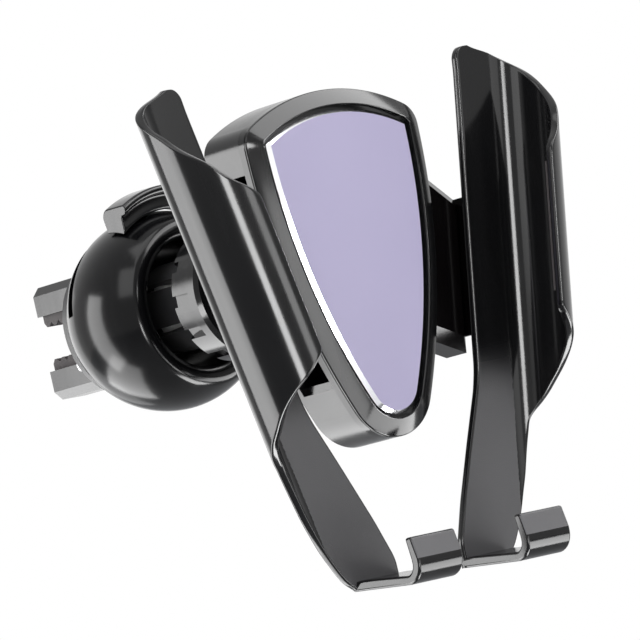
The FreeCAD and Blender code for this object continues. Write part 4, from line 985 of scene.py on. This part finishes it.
@dataclass
class Studio:
    """The camera at the photograph's angle, soft lights, a pale floor and a white surround.

    Args:
        yaw: Degrees that the camera stands to the object's left.
        rise: Degrees that it stands above the horizon.
        roll: Degrees that it is turned clockwise.
        focal: Focal length in pixels of the photograph.
        distance: Metres from the camera to the point that it was set out from.
        across: Pixels from the picture's middle to that point, to the right.
        down: Pixels from the picture's middle to that point, downwards.
        anchor: That point, in millimetres: the lowest point of the panel's face.
        picture: Width of the photograph, in pixels.
        sensor: Width of the camera's sensor, in millimetres.
        aim: The point that the lights face, in metres.
        floor_height: Height of the floor, in metres.
        floor_half: Half the floor's width, in metres.
    """

    yaw: float = 42.0
    rise: float = -1.86
    roll: float = 12.81
    focal: float = 6873.8
    distance: float = 1.37476
    across: float = 81.7
    down: float = 93.19
    anchor: tuple[float, float, float] = (0.0, -94.0, -33.0)
    picture: float = 640.0
    sensor: float = 36.0
    aim: tuple[float, float, float] = (0.0, -0.06, -0.01)
    floor_height: float = -0.8
    floor_half: float = 3.0

    def axes(self) -> tuple[Vector, Vector, Vector]:
        """The camera's right, up and back directions, before it is aimed."""
        yaw, rise, roll = (math.radians(angle) for angle in (-self.yaw, self.rise, self.roll))
        back = Vector((math.sin(yaw) * math.cos(rise), -math.cos(yaw) * math.cos(rise), math.sin(rise)))
        right = (-back).cross(Vector((0.0, 0.0, 1.0))).normalized()
        up = right.cross(-back)
        across, top = math.cos(roll), math.sin(roll)
        return right * across - up * top, right * top + up * across, back

    def place_camera(self) -> None:
        """Set the camera where the photograph was taken from, aimed at the picture's middle."""
        right, up, back = self.axes()
        centre = Vector(self.anchor) * MM + back * self.distance
        ahead = (-back - right * (self.across / self.focal) + up * (self.down / self.focal)).normalized()
        side = ahead.cross(up).normalized()
        top = side.cross(ahead)
        data = bpy.data.cameras.new("photo_camera")
        data.lens = self.focal * self.sensor / self.picture
        data.sensor_width = self.sensor
        data.clip_start = 0.05
        data.clip_end = 20.0
        camera = bpy.data.objects.new("photo_camera", data)
        camera.matrix_world = Matrix((
            (side.x, top.x, -ahead.x, centre.x),
            (side.y, top.y, -ahead.y, centre.y),
            (side.z, top.z, -ahead.z, centre.z),
            (0.0, 0.0, 0.0, 1.0),
        ))
        bpy.context.scene.collection.objects.link(camera)
        bpy.context.scene.camera = camera

    def place_light(self, box: Softbox) -> None:
        """Set a softbox on its bearing, facing the object. Power = radiance x pi x area."""
        bearing = math.radians(-self.yaw + box.bearing)
        height = math.radians(box.height)
        level = math.cos(height)
        away = Vector((math.sin(bearing) * level, -math.cos(bearing) * level, math.sin(height)))
        data = bpy.data.lights.new(box.name, "AREA")
        data.shape = "RECTANGLE"
        data.size = box.width
        data.size_y = box.tall
        data.energy = box.radiance * math.pi * box.width * box.tall
        light = bpy.data.objects.new(box.name, data)
        light.location = Vector(self.aim) + away * box.distance
        light.rotation_euler = away.to_track_quat("Z", "Y").to_euler()
        light.visible_camera = False
        light.visible_diffuse = not box.reflected_only
        bpy.context.scene.collection.objects.link(light)

    def build_world(self) -> None:
        """A white surround for the camera and for reflections, and a soft even light from it."""
        world = bpy.data.worlds.new("white_surround")
        world.use_nodes = True
        tree = world.node_tree
        tree.nodes.clear()
        path = add_node(tree, "LightPath")
        seen = add_node(tree, "Math", operation="MAXIMUM")
        shown = add_node(tree, "Math", operation="MAXIMUM")
        white = add_node(tree, "Background", {"Color": (1.0, 1.0, 1.0, 1.0), "Strength": 1.0})
        soft = add_node(tree, "Background", {"Color": (0.95, 0.97, 1.0, 1.0), "Strength": 0.5})
        mix = add_node(tree, "MixShader")
        output = add_node(tree, "OutputWorld")
        wire(tree, (path, "Is Camera Ray", seen, 0), (path, "Is Transmission Ray", seen, 1))
        wire(tree, (path, "Is Glossy Ray", shown, 0), (seen, "Value", shown, 1))
        wire(tree, (shown, "Value", mix, "Fac"), (soft, "Background", mix, 1))
        wire(tree, (white, "Background", mix, 2), (mix, "Shader", output, "Surface"))
        bpy.context.scene.world = world

    def build_floor(self) -> None:
        """A plain pale floor, well below the held object, that the camera sees a little brighter than lit."""
        mesh = bpy.data.meshes.new("floor")
        corners = np.array([[-1.0, -1.0], [1.0, -1.0], [1.0, 1.0], [-1.0, 1.0]]) * self.floor_half
        mesh.from_pydata(np.column_stack([corners, np.full(4, self.floor_height)]), [], [[0, 1, 2, 3]])
        material = bpy.data.materials.new("pale_floor")
        material.use_nodes = True
        tree = material.node_tree
        shader = tree.nodes["Principled BSDF"]
        shader.inputs["Base Color"].default_value = (0.86, 0.86, 0.87, 1.0)
        shader.inputs["Roughness"].default_value = 0.9
        glow = add_node(tree, "Emission")
        path = add_node(tree, "LightPath")
        share = add_node(tree, "Math", {1: 0.85}, operation="MULTIPLY")
        mix = add_node(tree, "MixShader")
        wire(tree, (path, "Is Camera Ray", share, 0), (share, "Value", mix, "Fac"))
        wire(tree, (shader, "BSDF", mix, 1), (glow, "Emission", mix, 2))
        wire(tree, (mix, "Shader", tree.nodes["Material Output"], "Surface"))
        mesh.materials.append(material)
        floor = bpy.data.objects.new("floor", mesh)
        bpy.context.scene.collection.objects.link(floor)

    def build(self) -> None:
        """Set up the whole studio."""
        self.place_camera()
        self.build_world()
        self.build_floor()
        boxes = (
            Softbox("left_box", -90.0, -8.0, 1.1, 0.46, 1.4, 10.5, True),
            Softbox("low_left_box", -112.0, -43.0, 0.9, 0.8, 0.5, 8.0, True),
            Softbox("rear_left_box", -146.0, -12.0, 1.2, 0.6, 1.4, 1.2, True),
            Softbox("low_front_strip", -3.0, -15.0, 1.6, 0.31, 0.44, 31.0, True),
            Softbox("high_front_strip", 19.0, 15.0, 1.6, 0.42, 0.3, 29.0, True),
            Softbox("low_right_strip", 31.0, -17.0, 1.2, 0.26, 0.8, 9.0, True),
            Softbox("brow_box", 86.0, 44.0, 1.1, 1.15, 0.5, 8.5, True),
            Softbox("chin_box", 78.0, -33.0, 0.9, 1.15, 0.42, 13.0, True),
            Softbox("under_box", 79.0, -69.0, 0.75, 0.4, 0.35, 26.0, True),
            Softbox("key_box", -35.0, 38.0, 1.3, 0.8, 0.7, 3.4),
            Softbox("fill_box", 62.0, 22.0, 1.3, 0.9, 0.9, 2.0),
            Softbox("top_box", 10.0, 74.0, 1.2, 0.9, 0.7, 3.2),
        )
        for box in boxes:
            self.place_light(box)
        bpy.context.scene.view_settings.view_transform = "Standard"


def main() -> None:
    """Build the pieces in order and light them."""
    logging.basicConfig(level=logging.INFO, format="%(message)s")
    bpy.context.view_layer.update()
    wardrobe = Wardrobe()
    ShieldBody().dress(wardrobe)
    for side in (1.0, -1.0):
        Arm(side=side).dress(wardrobe)
    VentClip().dress(wardrobe)
    Studio().build()


if __name__ == "__main__":
    main()
